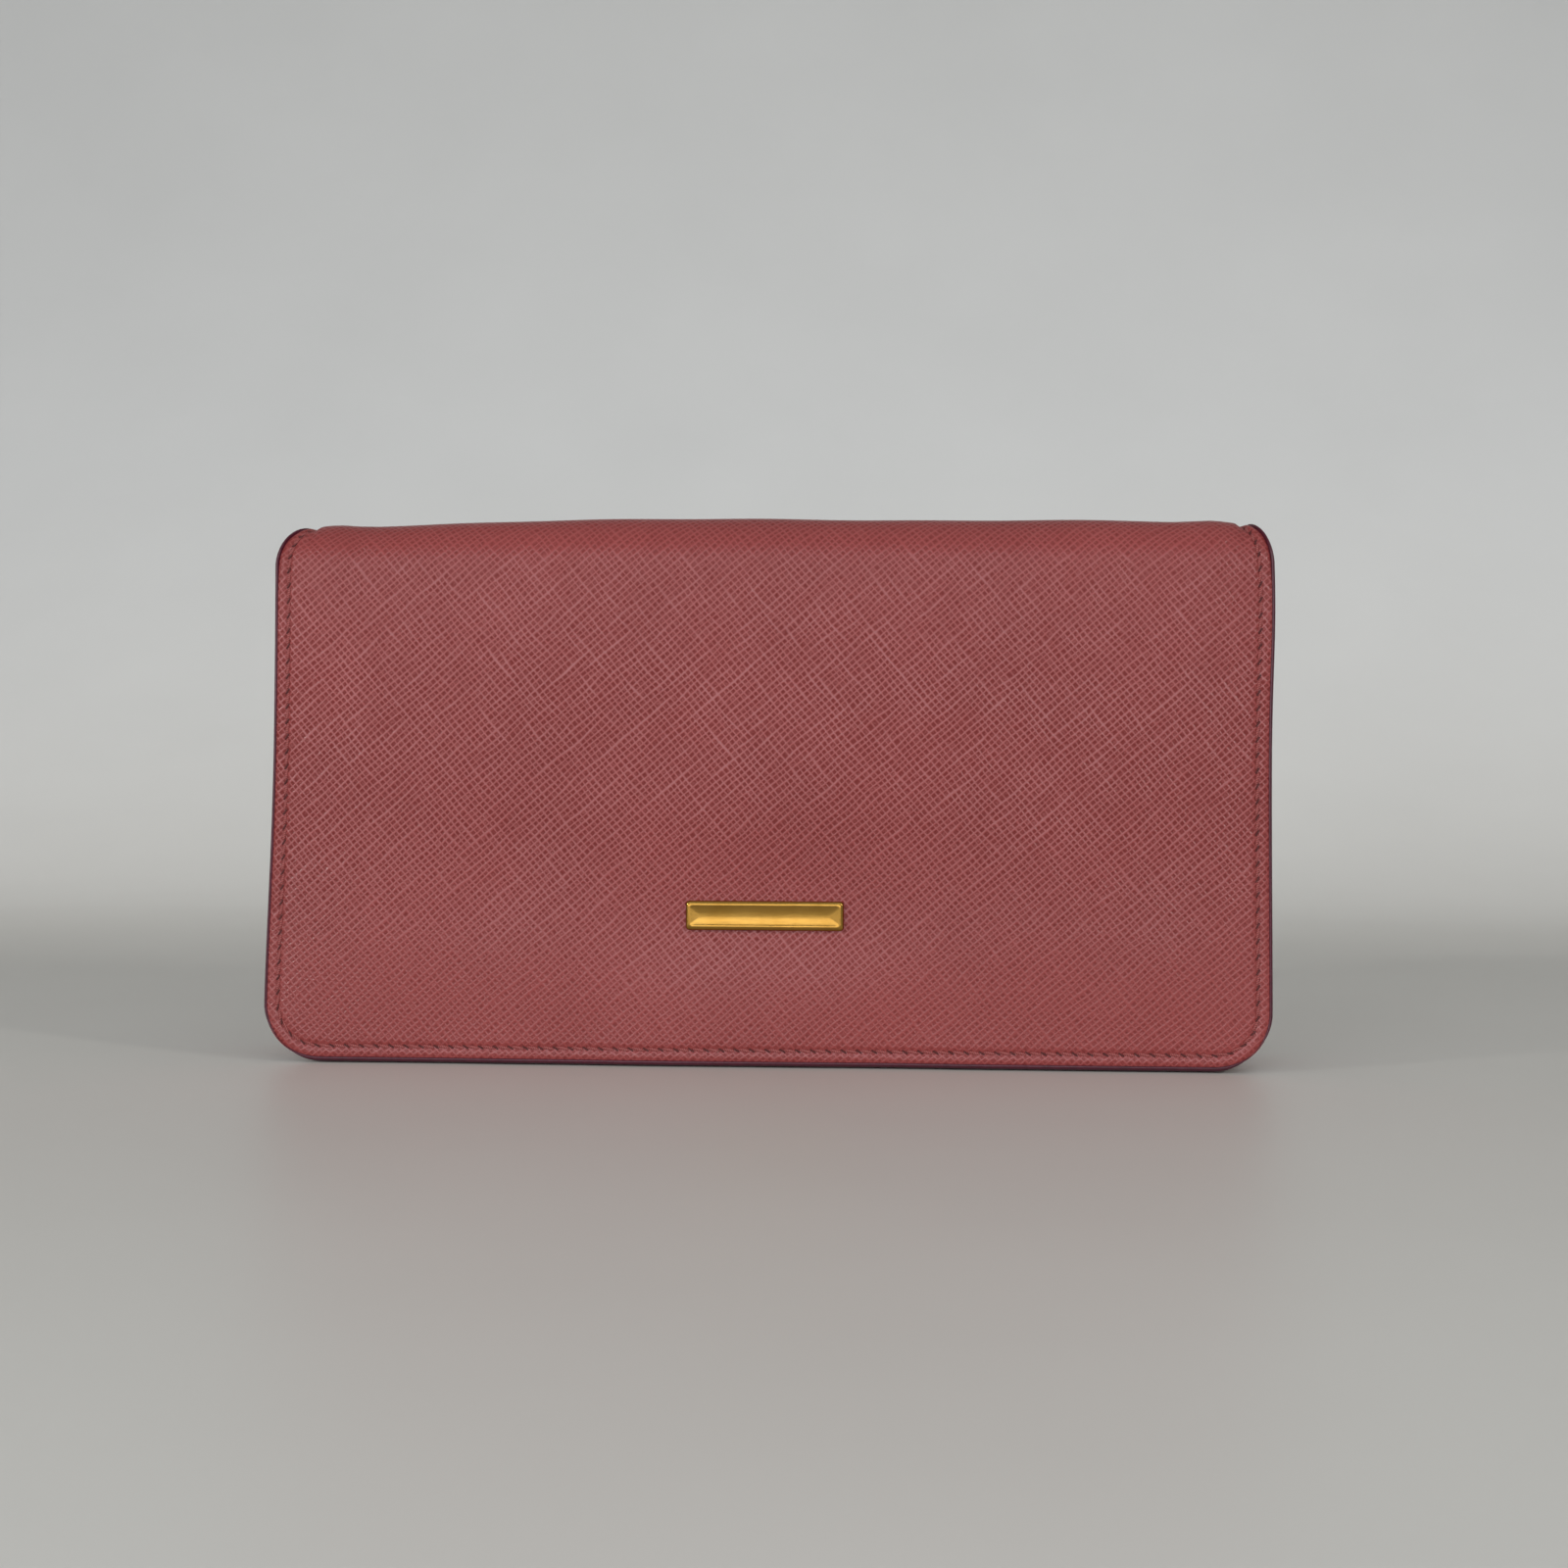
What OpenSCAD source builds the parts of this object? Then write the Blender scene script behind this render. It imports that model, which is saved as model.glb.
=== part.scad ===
// Long flap wallet that stands on its lower edge.
// +X is to the right, +Y to the rear, +Z up. The origin is the bottom centre.
// The outer leather runs from the back panel over the spine and down the front as a flap.
// Under the flap: a front pocket, a zipped coin pocket, card pockets and a strap ring.

/* [Overall] */
// Width of the back panel, spine and flap
body_w = 190; // [150:1:230]
// Height of the closed wallet
body_h = 104; // [86:1:130]
// Radius of the two bottom corners
corner_r = 10.4; // [6:0.1:14]
// Height of the flap's free edge over the surface it stands on
flap_lift = 0.8; // [0.3:0.1:3]

/* [Leather and boards] */
// Thickness of the outer leather
cover_t = 1.2; // [0.8:0.1:2]
// Thickness of the stiffening board
board_t = 0.7; // [0.5:0.1:1.5]
// Thickness of the lining leather
lining_t = 0.6; // [0.4:0.1:1.2]
// How far each board stops short of the leather's edge
board_inset = 3.6; // [3:0.1:6]

/* [Folds] */
// Outer radius of the fold between spine and flap
front_fold_r = 8; // [5:0.5:10]
// Outer radius of the fold between back panel and spine
rear_fold_r = 6; // [5:0.5:10]

/* [Stitching] */
// Distance from the leather's edge to the middle of the seam
seam_inset = 2.5; // [2:0.1:3]
// Width of the sewing thread's line
thread_w = 0.6; // [0.4:0.1:0.9]
// Depth of the groove that the thread lies in
thread_t = 0.3; // [0.2:0.1:0.5]

/* [Pockets] */
// Gap between the flap and the front pocket, which the snap fills
snap_gap = 2.0; // [1.8:0.1:3]
// How far the front pocket's sides stand in from the flap's
front_inset = 1.5; // [1:0.1:3]
// How far the front pocket's mouth lies below the top
front_drop = 10; // [9:0.5:20]
// Front to back room of the front compartment
front_room = 4.8; // [4.5:0.1:12]
// Front to back room of the rear compartment
rear_room = 4.8; // [4.5:0.1:12]

/* [Gussets] */
// Thickness of the gusset leather
gusset_t = 0.8; // [0.6:0.1:1.2]
// How far the gussets stand in from the front pocket's sides
gusset_inset = 2.5; // [2:0.1:4]
// Depth of each inward fold of the side gussets
gusset_fold = 2.4; // [1.5:0.1:4]

/* [Coin pocket] */
// Front to back room inside the coin pocket
coin_room = 5.2; // [4.8:0.1:8]
// Thickness of the coin pocket's walls
coin_wall_t = 0.7; // [0.5:0.1:1.2]
// How far the coin pocket's mouth lies below the top
coin_drop = 26; // [24:0.5:36]
// Height of the coin pocket's underside
coin_lift = 4; // [3:0.5:12]
// Clear space between each end of the coin pocket and the gussets
side_gap = 0.7; // [0.5:0.1:3]

/* [Zip] */
// Distance from each end of the coin pocket to the zip's end stop
zip_margin = 18; // [17:0.5:30]
// Thickness of the zip tape
tape_t = 0.5; // [0.4:0.1:0.7]
// Spacing of the teeth along one tape
tooth_pitch = 2.4; // [2:0.1:3]
// Length of a tooth along the tape
tooth_l = 1.2; // [0.8:0.1:1.4]
// Width of a tooth across the tape
tooth_w = 1.25; // [1:0.05:1.4]
// Height of a tooth
tooth_h = 1.4; // [1.2:0.1:1.8]
// Slit between the two rows of teeth
slit_w = 0.9; // [0.8:0.1:1.2]
// Length of the slider
slider_l = 8; // [7:0.5:9]
// Length of the puller from its pin to its end
puller_l = 15; // [12:0.5:16]
// Width of the puller's grip
puller_w = 5; // [4.6:0.2:6]

/* [Card pockets] */
// Thickness of each layer of the card pockets
card_layer_t = 0.5; // [0.4:0.1:0.8]
// Height of one card pocket's mouth over the next
card_step = 8; // [6:0.5:10]
// How far the highest card mouth lies below the top
card_drop = 16; // [14:0.5:24]

/* [Snap and plate] */
// Height of the snap's centre
snap_z = 16; // [12:0.5:20]
// Outer radius of the snap's socket
socket_r = 5; // [4.5:0.1:6]
// Radius of the snap's stud
stud_r = 1.8; // [1.5:0.1:2.2]
// Width of the metal plate
plate_w = 30; // [20:1:40]
// Height of the metal plate
plate_h = 5.6; // [4:0.2:8]
// Thickness of the metal plate
plate_t = 1.2; // [0.8:0.1:2]
// Height of the plate's centre
plate_z = 29; // [26:0.5:50]

/* [Strap ring] */
// Radius of the ring's bow, to the middle of its wire
ring_r = 5.8; // [5:0.1:6.5]
// Radius of the ring's wire
ring_wire_r = 0.8; // [0.6:0.05:1]
// Distance from the gusset to the middle of the ring
ring_margin = 8; // [7.5:0.5:20]

/* [Hidden] */
$fn = 48;

card_count = 4;
eps = 1;                // how far a cutting shape runs past what it cuts
run_gap = 0.15;         // space round a piece that slides or turns
seat_gap = 0.05;        // space round a piece that sits in a hole

// Layers from the flap's face to the back face
shell_t = cover_t + board_t + lining_t;
coin_d = coin_room + 2 * coin_wall_t;
card_stack_t = (card_count + 1) * card_layer_t;
depth = 3 * shell_t + snap_gap + front_room + coin_d + rear_room + card_stack_t;
flap_y = (plate_t - depth) / 2;
front_y = flap_y + shell_t + snap_gap;
coin_y = front_y + shell_t + front_room;
card_y = coin_y + coin_d + rear_room;
back_y = card_y + card_stack_t;
back_face_y = back_y + shell_t;

// Half widths
half_w = body_w / 2;
front_half_w = half_w - front_inset;
gusset_x = front_half_w - gusset_inset;
inner_half_w = gusset_x - gusset_t - gusset_fold;
coin_half_w = inner_half_w - side_gap;

// Heights
front_top = body_h - front_drop;
coin_top = body_h - coin_drop;
card_top = body_h - card_drop;
flap_top = body_h - front_fold_r;
back_top = body_h - rear_fold_r;
gusset_corner_r = corner_r - gusset_inset;
gusset_drop = 2;        // from the front pocket's mouth to the top of the side gussets

// Zip
zip_y = coin_y + coin_d / 2;
zip_half_l = coin_half_w - zip_margin;
tooth_count = floor((2 * zip_half_l - tooth_pitch / 2) / tooth_pitch);
tape_w = coin_d / 2 - slit_w / 2 - tooth_w;
tooth_rise = 0.15;      // height of the teeth's middle over the tape's middle
tooth_z = coin_top + tape_t / 2 + tooth_rise;
slider_x = zip_half_l - slider_l / 2 - run_gap;
slider_plate_t = 0.8;
slider_side_gap = 0.4;  // from each edge of the slider to the pocket's outside
slider_w = coin_d - 2 * slider_side_gap;
slider_flange_t = 0.6;
slider_web_l = 2.2;
slider_web_end = 0.4;   // from the web to the end of the slider
slider_top = tooth_z + tooth_h / 2 + run_gap + slider_plate_t;
bridge_w = 1.4;
bridge_l = 6.2;
bridge_t = 0.7;
pin_r = 0.6;
pin_z = slider_top + run_gap + pin_r;
arm_t = 0.8;
arm_y = bridge_w / 2 + run_gap + arm_t / 2;
puller_t = 1;
grip_start = 4.6;

// Snap
flange_t = 0.3;
socket_t = snap_gap - flange_t - run_gap;
shank_r = 1.2;
neck_r = 2.6;
stud_flange_r = socket_r - 1;

// Strap ring
ring_x = -inner_half_w + ring_margin;
ring_card_gap = 0.45;   // from the ring's wire to the card pockets
ring_y = card_y - ring_wire_r - ring_card_gap;
ring_drop = 5.4;        // from the top of the back panel to the ring's straight side
ring_z = back_top - ring_drop;
tab_wall = 0.9;
tab_drop = 1;           // from the top of the back panel to the top of the tab
tab_side_gap = 2.2;     // from the tab to the middle of the ring's bow
tab_w = 2 * (ring_r - tab_side_gap);
tab_r = ring_wire_r + seat_gap + tab_wall;

// Plate posts
post_r = 0.6;
post_inset = 5;         // from the end of the plate to the middle of each post
post_x = plate_w / 2 - post_inset;
washer_r = 1.7;
washer_t = 0.35;

rose = [0.57, 0.29, 0.29];
rose_lining = [0.52, 0.25, 0.26];
thread_rose = [0.62, 0.33, 0.33];
gold = [0.83, 0.66, 0.33];

// Plate t thick, drawn in X and Z, with its front face at y
module slab(y, t) {
    translate([0, y + t, 0]) rotate([90, 0, 0]) linear_extrude(t) children();
}

// Strip of width w, centred on X, drawn in Y and Z
module strip(w) {
    rotate([90, 0, 90]) linear_extrude(w, center = true) children();
}

// Round bar along Y, from y to y + l
module pin_y(x, y, z, r, l) {
    translate([x, y + l, z]) rotate([90, 0, 0]) cylinder(r = r, h = l);
}

// Box given by its lowest and highest corners
module span(low, high) {
    translate(low) cube(high - low);
}

// Panel with a square top and two round bottom corners
module panel_outline(half, bottom, top, r) {
    translate([-half, bottom + r]) square([2 * half, top - bottom - r]);
    translate([r - half, bottom]) square([2 * (half - r), r]);
    for (side = [-1, 1])
        translate([side * (half - r), bottom + r]) intersection() {
            circle(r);
            translate([side > 0 ? 0 : -r, -r]) square([r, r]);
        }
}

// Line that runs down one side, along the bottom and up the other side
module seam_line(half, bottom, top, r) {
    outer = seam_inset - thread_w / 2;
    inner = seam_inset + thread_w / 2;
    difference() {
        panel_outline(half - outer, bottom + outer, top, r - outer);
        panel_outline(half - inner, bottom + inner, top + eps, r - inner);
    }
}

// Quarter of a rolled leather layer round the origin, to the front or the rear
module fold_profile(r, t, to_front) {
    difference() {
        circle(r);
        circle(r - t);
        translate([-2 * r, -2 * r]) square([4 * r, 2 * r]);
        translate([to_front ? 0 : -2 * r, -r]) square([2 * r, 3 * r]);
    }
}

// Card pocket layer number n, where 1 is the highest and nearest the back
module card_layer(n) {
    slab(card_y + (card_count - n) * card_layer_t, card_layer_t)
        translate([-coin_half_w, coin_lift])
            square([2 * coin_half_w, card_top - (n - 1) * card_step - coin_lift]);
}

// Side gusset folded in a zigzag, on the side given as -1 or 1
module side_gusset(side) {
    from = front_y + shell_t + run_gap;
    step = (card_y - from) / 4;
    zigzag = [for (i = [0:4]) [gusset_x - (i % 2 == 1 ? gusset_fold : 0), from + i * step]];
    outer = [for (i = [0:4]) [side * zigzag[i][0], zigzag[i][1]]];
    inner = [for (i = [4:-1:0]) [side * (zigzag[i][0] - gusset_t), zigzag[i][1]]];
    translate([0, 0, gusset_corner_r])
        linear_extrude(front_top - gusset_drop - gusset_corner_r)
            polygon(concat(outer, inner));
}

// One row of zip teeth, on the side of the slit given as -1 or 1
module tooth_row(side) {
    y = side > 0 ? zip_y + slit_w / 2 : zip_y - slit_w / 2 - tooth_w;
    start = -zip_half_l + (side > 0 ? tooth_pitch / 2 : 0);
    for (i = [0:tooth_count - 1])
        translate([start + i * tooth_pitch, y, tooth_z - tooth_h / 2])
            cube([tooth_l, tooth_w, tooth_h]);
}

// One zip tape, sewn on the top edge of a coin pocket wall
module zip_tape(y) {
    span([-coin_half_w, y, coin_top], [coin_half_w, y + tape_w, coin_top + tape_t]);
}

// One layer of the front pocket, t thick, standing in from its edge by inset
module front_layer(y, t, inset) {
    difference() {
        slab(y, t)
            panel_outline(front_half_w - inset, inset, front_top - inset,
                corner_r - front_inset - inset);
        pin_y(0, y - eps, snap_z, shank_r + seat_gap, t + 2 * eps);
    }
}

// One wall of the coin pocket, with its front face at y
module coin_wall(y) {
    span([-coin_half_w, y, coin_lift], [coin_half_w, y + coin_wall_t, coin_top]);
}

module back_cover() {
    color(rose)
        difference() {
            slab(back_face_y - cover_t, cover_t)
                panel_outline(half_w, 0, back_top, corner_r);
            slab(back_face_y - thread_t, thread_t + eps)
                seam_line(half_w, 0, back_top + eps, corner_r);
        }
}

module back_board() {
    color("gray")
        slab(back_y + lining_t, board_t)
            panel_outline(half_w - board_inset, board_inset, back_top, corner_r - board_inset);
}

module back_lining() {
    color(rose_lining)
        slab(back_y, lining_t) panel_outline(half_w, 0, back_top, corner_r);
}

module back_stitching() {
    color(thread_rose)
        slab(back_face_y - thread_t, thread_t) seam_line(half_w, 0, back_top, corner_r);
}

module rear_fold() {
    color(rose)
        translate([0, back_face_y - rear_fold_r, back_top])
            strip(body_w) fold_profile(rear_fold_r, cover_t + lining_t, false);
}

module card_backing() {
    color(rose_lining)
        slab(back_y - card_layer_t, card_layer_t)
            translate([-coin_half_w, coin_lift])
                square([2 * coin_half_w, card_top + card_step / 4 - coin_lift]);
}

module card_pocket_1() {
    color(rose_lining) card_layer(1);
}

module card_pocket_2() {
    color(rose_lining) card_layer(2);
}

module card_pocket_3() {
    color(rose_lining) card_layer(3);
}

module card_pocket_4() {
    color(rose_lining) card_layer(4);
}

module base_gusset() {
    from = front_y + shell_t + run_gap;
    color(rose)
        slab(from, back_y - from) difference() {
            panel_outline(gusset_x, 0, 2 * gusset_corner_r, gusset_corner_r);
            panel_outline(gusset_x - gusset_t, gusset_t, 2 * gusset_corner_r + eps,
                gusset_corner_r - gusset_t);
            translate([-body_w, gusset_corner_r]) square([2 * body_w, 2 * gusset_corner_r]);
        }
}

module left_gusset() {
    color(rose) side_gusset(-1);
}

module right_gusset() {
    color(rose) side_gusset(1);
}

module ring_tab() {
    color(rose)
        translate([ring_x, 0, 0]) difference() {
            union() {
                translate([0, ring_y, ring_z]) rotate([0, 90, 0])
                    cylinder(r = tab_r, h = tab_w, center = true);
                span([-tab_w / 2, ring_y, ring_z], [tab_w / 2, back_y, ring_z + tab_r]);
                span([-tab_w / 2, back_y - 2 * tab_wall, ring_z], [tab_w / 2, back_y, back_top - tab_drop]);
            }
            translate([0, ring_y, ring_z]) rotate([0, 90, 0])
                cylinder(r = ring_wire_r + seat_gap, h = tab_w + 2 * eps, center = true);
        }
}

module spine_cover() {
    color(rose)
        span([-half_w, flap_y + front_fold_r, body_h - cover_t],
            [half_w, back_face_y - rear_fold_r, body_h]);
}

module spine_board() {
    color("gray")
        span([board_inset - half_w, flap_y + front_fold_r, body_h - cover_t - board_t],
            [half_w - board_inset, back_face_y - rear_fold_r, body_h - cover_t]);
}

module spine_lining() {
    color(rose_lining)
        span([-half_w, flap_y + front_fold_r, body_h - shell_t],
            [half_w, back_face_y - rear_fold_r, body_h - shell_t + lining_t]);
}

module front_fold() {
    color(rose)
        translate([0, flap_y + front_fold_r, flap_top])
            strip(body_w) fold_profile(front_fold_r, cover_t + lining_t, true);
}

module flap_cover() {
    color(rose)
        difference() {
            slab(flap_y, cover_t) panel_outline(half_w, flap_lift, flap_top, corner_r);
            slab(flap_y - eps, thread_t + eps)
                seam_line(half_w, flap_lift, flap_top + eps, corner_r);
            for (side = [-1, 1])
                pin_y(side * post_x, flap_y - eps, plate_z, post_r + seat_gap, cover_t + 2 * eps);
        }
}

module flap_board() {
    y = flap_y + cover_t;
    color("gray")
        difference() {
            slab(y, board_t)
                panel_outline(half_w - board_inset, flap_lift + board_inset, flap_top,
                    corner_r - board_inset);
            for (side = [-1, 1]) {
                pin_y(side * post_x, y - eps, plate_z, post_r + seat_gap, board_t + 2 * eps);
                pin_y(side * post_x, y + board_t - washer_t, plate_z, washer_r + seat_gap,
                    washer_t + eps);
            }
            pin_y(0, y - eps, snap_z, socket_r + seat_gap, board_t + 2 * eps);
        }
}

module flap_lining() {
    y = flap_y + cover_t + board_t;
    color(rose_lining)
        difference() {
            slab(y, lining_t) panel_outline(half_w, flap_lift, flap_top, corner_r);
            pin_y(0, y - eps, snap_z, neck_r + seat_gap, lining_t + 2 * eps);
        }
}

module flap_stitching() {
    color(thread_rose)
        slab(flap_y, thread_t) seam_line(half_w, flap_lift, flap_top, corner_r);
}

module front_plate() {
    color(gold) {
        span([-plate_w / 2, flap_y - plate_t, plate_z - plate_h / 2],
            [plate_w / 2, flap_y, plate_z + plate_h / 2]);
        for (side = [-1, 1])
            pin_y(side * post_x, flap_y - plate_t / 2, plate_z, post_r,
                plate_t / 2 + cover_t + board_t);
    }
}

module plate_washers() {
    y = flap_y + cover_t + board_t - washer_t;
    color(gold)
        for (side = [-1, 1])
            difference() {
                pin_y(side * post_x, y, plate_z, washer_r, washer_t);
                pin_y(side * post_x, y - eps, plate_z, post_r, washer_t + 2 * eps);
            }
}

module snap_cap() {
    color(gold) pin_y(0, flap_y + cover_t, snap_z, socket_r, board_t);
}

module snap_socket() {
    inner_y = flap_y + shell_t;
    color(gold)
        difference() {
            union() {
                pin_y(0, inner_y - lining_t, snap_z, neck_r, lining_t + socket_t);
                pin_y(0, inner_y, snap_z, socket_r, socket_t);
            }
            pin_y(0, inner_y, snap_z, stud_r + 2 * run_gap, socket_t + eps);
        }
}

module front_panel() {
    color(rose)
        difference() {
            front_layer(front_y, cover_t, 0);
            slab(front_y - eps, thread_t + eps)
                seam_line(front_half_w, 0, front_top + eps, corner_r - front_inset);
        }
}

module front_board() {
    color("gray") front_layer(front_y + cover_t, board_t, board_inset);
}

module front_lining() {
    color(rose_lining) front_layer(front_y + cover_t + board_t, lining_t, 0);
}

module front_stitching() {
    color(thread_rose)
        slab(front_y, thread_t)
            seam_line(front_half_w, 0, front_top, corner_r - front_inset);
}

module snap_stud() {
    color(gold) {
        pin_y(0, front_y - flange_t, snap_z, stud_flange_r, flange_t);
        pin_y(0, front_y - snap_gap + run_gap, snap_z, stud_r, snap_gap - run_gap);
        pin_y(0, front_y - flange_t, snap_z, shank_r, flange_t + shell_t + flange_t);
    }
}

module snap_rivet() {
    color(gold)
        difference() {
            pin_y(0, front_y + shell_t, snap_z, stud_flange_r, flange_t);
            pin_y(0, front_y + shell_t - eps, snap_z, shank_r, flange_t + 2 * eps);
        }
}

module coin_wall_front() {
    color(rose_lining) coin_wall(coin_y);
}

module coin_wall_back() {
    color(rose_lining) coin_wall(coin_y + coin_d - coin_wall_t);
}

module coin_sides() {
    color(rose_lining)
        for (side = [-1, 1])
            translate([side * (coin_half_w - coin_wall_t / 2), 0, 0])
                span([-coin_wall_t / 2, coin_y + coin_wall_t, coin_lift + coin_wall_t],
                    [coin_wall_t / 2, coin_y + coin_wall_t + coin_room, coin_top]);
}

module coin_base() {
    color(rose_lining)
        span([-coin_half_w, coin_y + coin_wall_t, coin_lift],
            [coin_half_w, coin_y + coin_wall_t + coin_room, coin_lift + coin_wall_t]);
}

module zip_tape_front() {
    color(rose) zip_tape(coin_y);
}

module zip_tape_back() {
    color(rose) zip_tape(coin_y + coin_d - tape_w);
}

module zip_teeth_front() {
    color(gold) tooth_row(-1);
}

module zip_teeth_back() {
    color(gold) tooth_row(1);
}

module zip_stops() {
    half_y = slit_w / 2 + tooth_w;
    color(gold)
        for (side = [-1, 1])
            translate([side * (zip_half_l + tooth_l), zip_y, tooth_z])
                cube([tooth_l, 2 * half_y, tooth_h], center = true);
}

module slider_body() {
    low_plate_top = tooth_z - tooth_h / 2 - run_gap;
    low_half_w = coin_room / 2 - 2 * run_gap;
    web_half_w = slit_w / 2 - run_gap;
    web_end = slider_l / 2 - slider_web_end;
    flange_low = coin_top + tape_t + run_gap;
    bridge_low = pin_z + pin_r + run_gap;
    color(gold)
        translate([slider_x, zip_y, 0]) {
            span([-slider_l / 2, -slider_w / 2, slider_top - slider_plate_t],
                [slider_l / 2, slider_w / 2, slider_top]);
            span([-slider_l / 2, -low_half_w, low_plate_top - slider_plate_t],
                [slider_l / 2, low_half_w, low_plate_top]);
            span([web_end - slider_web_l, -web_half_w, low_plate_top - slider_plate_t / 2],
                [web_end, web_half_w, slider_top - slider_plate_t / 2]);
            for (side = [-1, 1]) {
                translate([0, side * (slider_w - slider_flange_t) / 2, 0])
                    span([-slider_l / 2, -slider_flange_t / 2, flange_low],
                        [slider_l / 2, slider_flange_t / 2, slider_top - slider_plate_t / 2]);
                translate([side * (bridge_l / 2 - bridge_t / 2), 0, 0])
                    span([-bridge_t / 2, -bridge_w / 2, slider_top - slider_plate_t / 2],
                        [bridge_t / 2, bridge_w / 2, bridge_low + bridge_t / 2]);
            }
            span([-bridge_l / 2, -bridge_w / 2, bridge_low],
                [bridge_l / 2, bridge_w / 2, bridge_low + bridge_t]);
        }
}

module puller() {
    grip_r = puller_w / 2;
    color(gold)
        translate([slider_x, zip_y, pin_z]) {
            pin_y(0, -arm_y, 0, pin_r, 2 * arm_y);
            for (side = [-1, 1])
                translate([0, side * arm_y, 0])
                    span([-grip_start - arm_t, -arm_t / 2, -puller_t / 2],
                        [pin_r, arm_t / 2, puller_t / 2]);
            translate([0, 0, -puller_t / 2]) linear_extrude(puller_t) difference() {
                union() {
                    translate([grip_r - puller_l, -grip_r])
                        square([puller_l - grip_r - grip_start, puller_w]);
                    translate([grip_r - puller_l, 0]) intersection() {
                        circle(grip_r);
                        translate([-puller_w, -puller_w]) square([puller_w, 2 * puller_w]);
                    }
                }
                translate([grip_r - puller_l, 0]) circle(grip_r / 3);
            }
        }
}

module d_ring() {
    ball_r = ring_wire_r + run_gap;
    color(gold)
        translate([ring_x, ring_y, ring_z]) {
            rotate([0, 90, 0]) cylinder(r = ring_wire_r, h = 2 * ring_r, center = true);
            rotate([90, 180, 0]) rotate_extrude(angle = 180)
                translate([ring_r, 0]) circle(ring_wire_r);
            for (side = [-1, 1]) translate([side * ring_r, 0, 0]) sphere(ball_r);
        }
}

back_cover();
back_board();
back_lining();
back_stitching();
rear_fold();
card_backing();
card_pocket_1();
card_pocket_2();
card_pocket_3();
card_pocket_4();
base_gusset();
left_gusset();
right_gusset();
ring_tab();
spine_cover();
spine_board();
spine_lining();
front_fold();
flap_cover();
flap_board();
flap_lining();
flap_stitching();
front_plate();
plate_washers();
snap_cap();
snap_socket();
front_panel();
front_board();
front_lining();
front_stitching();
snap_stud();
snap_rivet();
coin_wall_front();
coin_wall_back();
coin_sides();
coin_base();
zip_tape_front();
zip_tape_back();
zip_teeth_front();
zip_teeth_back();
zip_stops();
slider_body();
puller();
d_ring();
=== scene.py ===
"""Long flap wallet in rose cross-grain leather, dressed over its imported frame.

Metres, +X right, +Y to the rear, +Z up, as in the frame. Leather panels are sheets: a sheet maps
x (across), s (distance down the leather) and t (depth under its face) to a point in space.
"""

import math

import bmesh
import bpy
import numpy as np
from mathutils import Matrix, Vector


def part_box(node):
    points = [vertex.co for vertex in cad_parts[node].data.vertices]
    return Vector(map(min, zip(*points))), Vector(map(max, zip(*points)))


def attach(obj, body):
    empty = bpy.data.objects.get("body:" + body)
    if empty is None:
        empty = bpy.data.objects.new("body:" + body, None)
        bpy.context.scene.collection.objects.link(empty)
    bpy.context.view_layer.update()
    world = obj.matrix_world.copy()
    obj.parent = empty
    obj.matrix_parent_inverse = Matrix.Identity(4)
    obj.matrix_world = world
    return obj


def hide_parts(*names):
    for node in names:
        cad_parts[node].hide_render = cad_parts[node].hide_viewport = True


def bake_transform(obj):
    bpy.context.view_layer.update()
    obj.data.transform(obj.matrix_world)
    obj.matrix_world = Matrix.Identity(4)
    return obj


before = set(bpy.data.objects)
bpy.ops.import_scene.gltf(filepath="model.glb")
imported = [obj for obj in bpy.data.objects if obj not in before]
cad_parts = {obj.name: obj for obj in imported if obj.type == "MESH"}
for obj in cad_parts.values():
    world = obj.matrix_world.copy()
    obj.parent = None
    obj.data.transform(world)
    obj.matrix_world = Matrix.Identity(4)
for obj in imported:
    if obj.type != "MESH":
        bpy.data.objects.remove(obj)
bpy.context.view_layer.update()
MM = 0.001

# ---------------------------------------------------------------- sizes


def box(name):
    """Lowest and highest corners of a node, as arrays."""
    return tuple(np.array(corner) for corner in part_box(name))


FLAP_LOW, FLAP_HIGH = box("flap_cover")
BACK_LOW, BACK_HIGH = box("back_cover")
SPINE_LOW, SPINE_HIGH = box("spine_cover")
FRONT_LOW, FRONT_HIGH = box("front_panel")
FRONT_IN = box("front_lining")[1]
COIN_LOW, COIN_HIGH = box("coin_wall_front")[0], box("coin_wall_back")[1]
PLATE_LOW, PLATE_HIGH = box("front_plate")

HALF_W = FLAP_HIGH[0]            # half the width of the outer leather
FACE_Y = FLAP_LOW[1]             # the flap's face
BACK_Y = BACK_HIGH[1]            # the back's face
TOP_Z = SPINE_HIGH[2]            # the spine's face
FRONT_R = SPINE_LOW[1] - FACE_Y  # outer radius of the front fold
REAR_R = BACK_Y - SPINE_HIGH[1]  # outer radius of the rear fold
MID_Y = (SPINE_LOW[1] + SPINE_HIGH[1]) / 2
COIN_WALL = box("coin_wall_front")[1][1] - COIN_LOW[1]
CORNER_R = 10.4 * MM             # bottom corners
SHELL_T = 2.5 * MM               # leather, board and lining together
COVER_T = 1.25 * MM              # outer leather with half of its glue line
LINING_INSET = 0.1 * MM          # how far the lining's edge lies inside the painted edge
FLOOR_GAP = 0.2 * MM             # leather edges clear of the floor
SEAM_INSET = 2.5 * MM            # edge to seam
SEAM_W = 0.5 * MM                # half width of the valley pressed in along a seam
STITCH = 2.9 * MM                # one stitch
TOP_TUCK = (4.2 * MM, 3.2 * MM)  # how far the left and right ends of the spine draw in
TUCK_DROP = 9.4 * MM             # height over which the ends widen again, in a quarter ellipse
CROWN = 1.6 * MM                 # how much the middle of the roll stands over its ends
SINK = 0.7 * MM                  # how far the ends of the roll lie under a straight top
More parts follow.
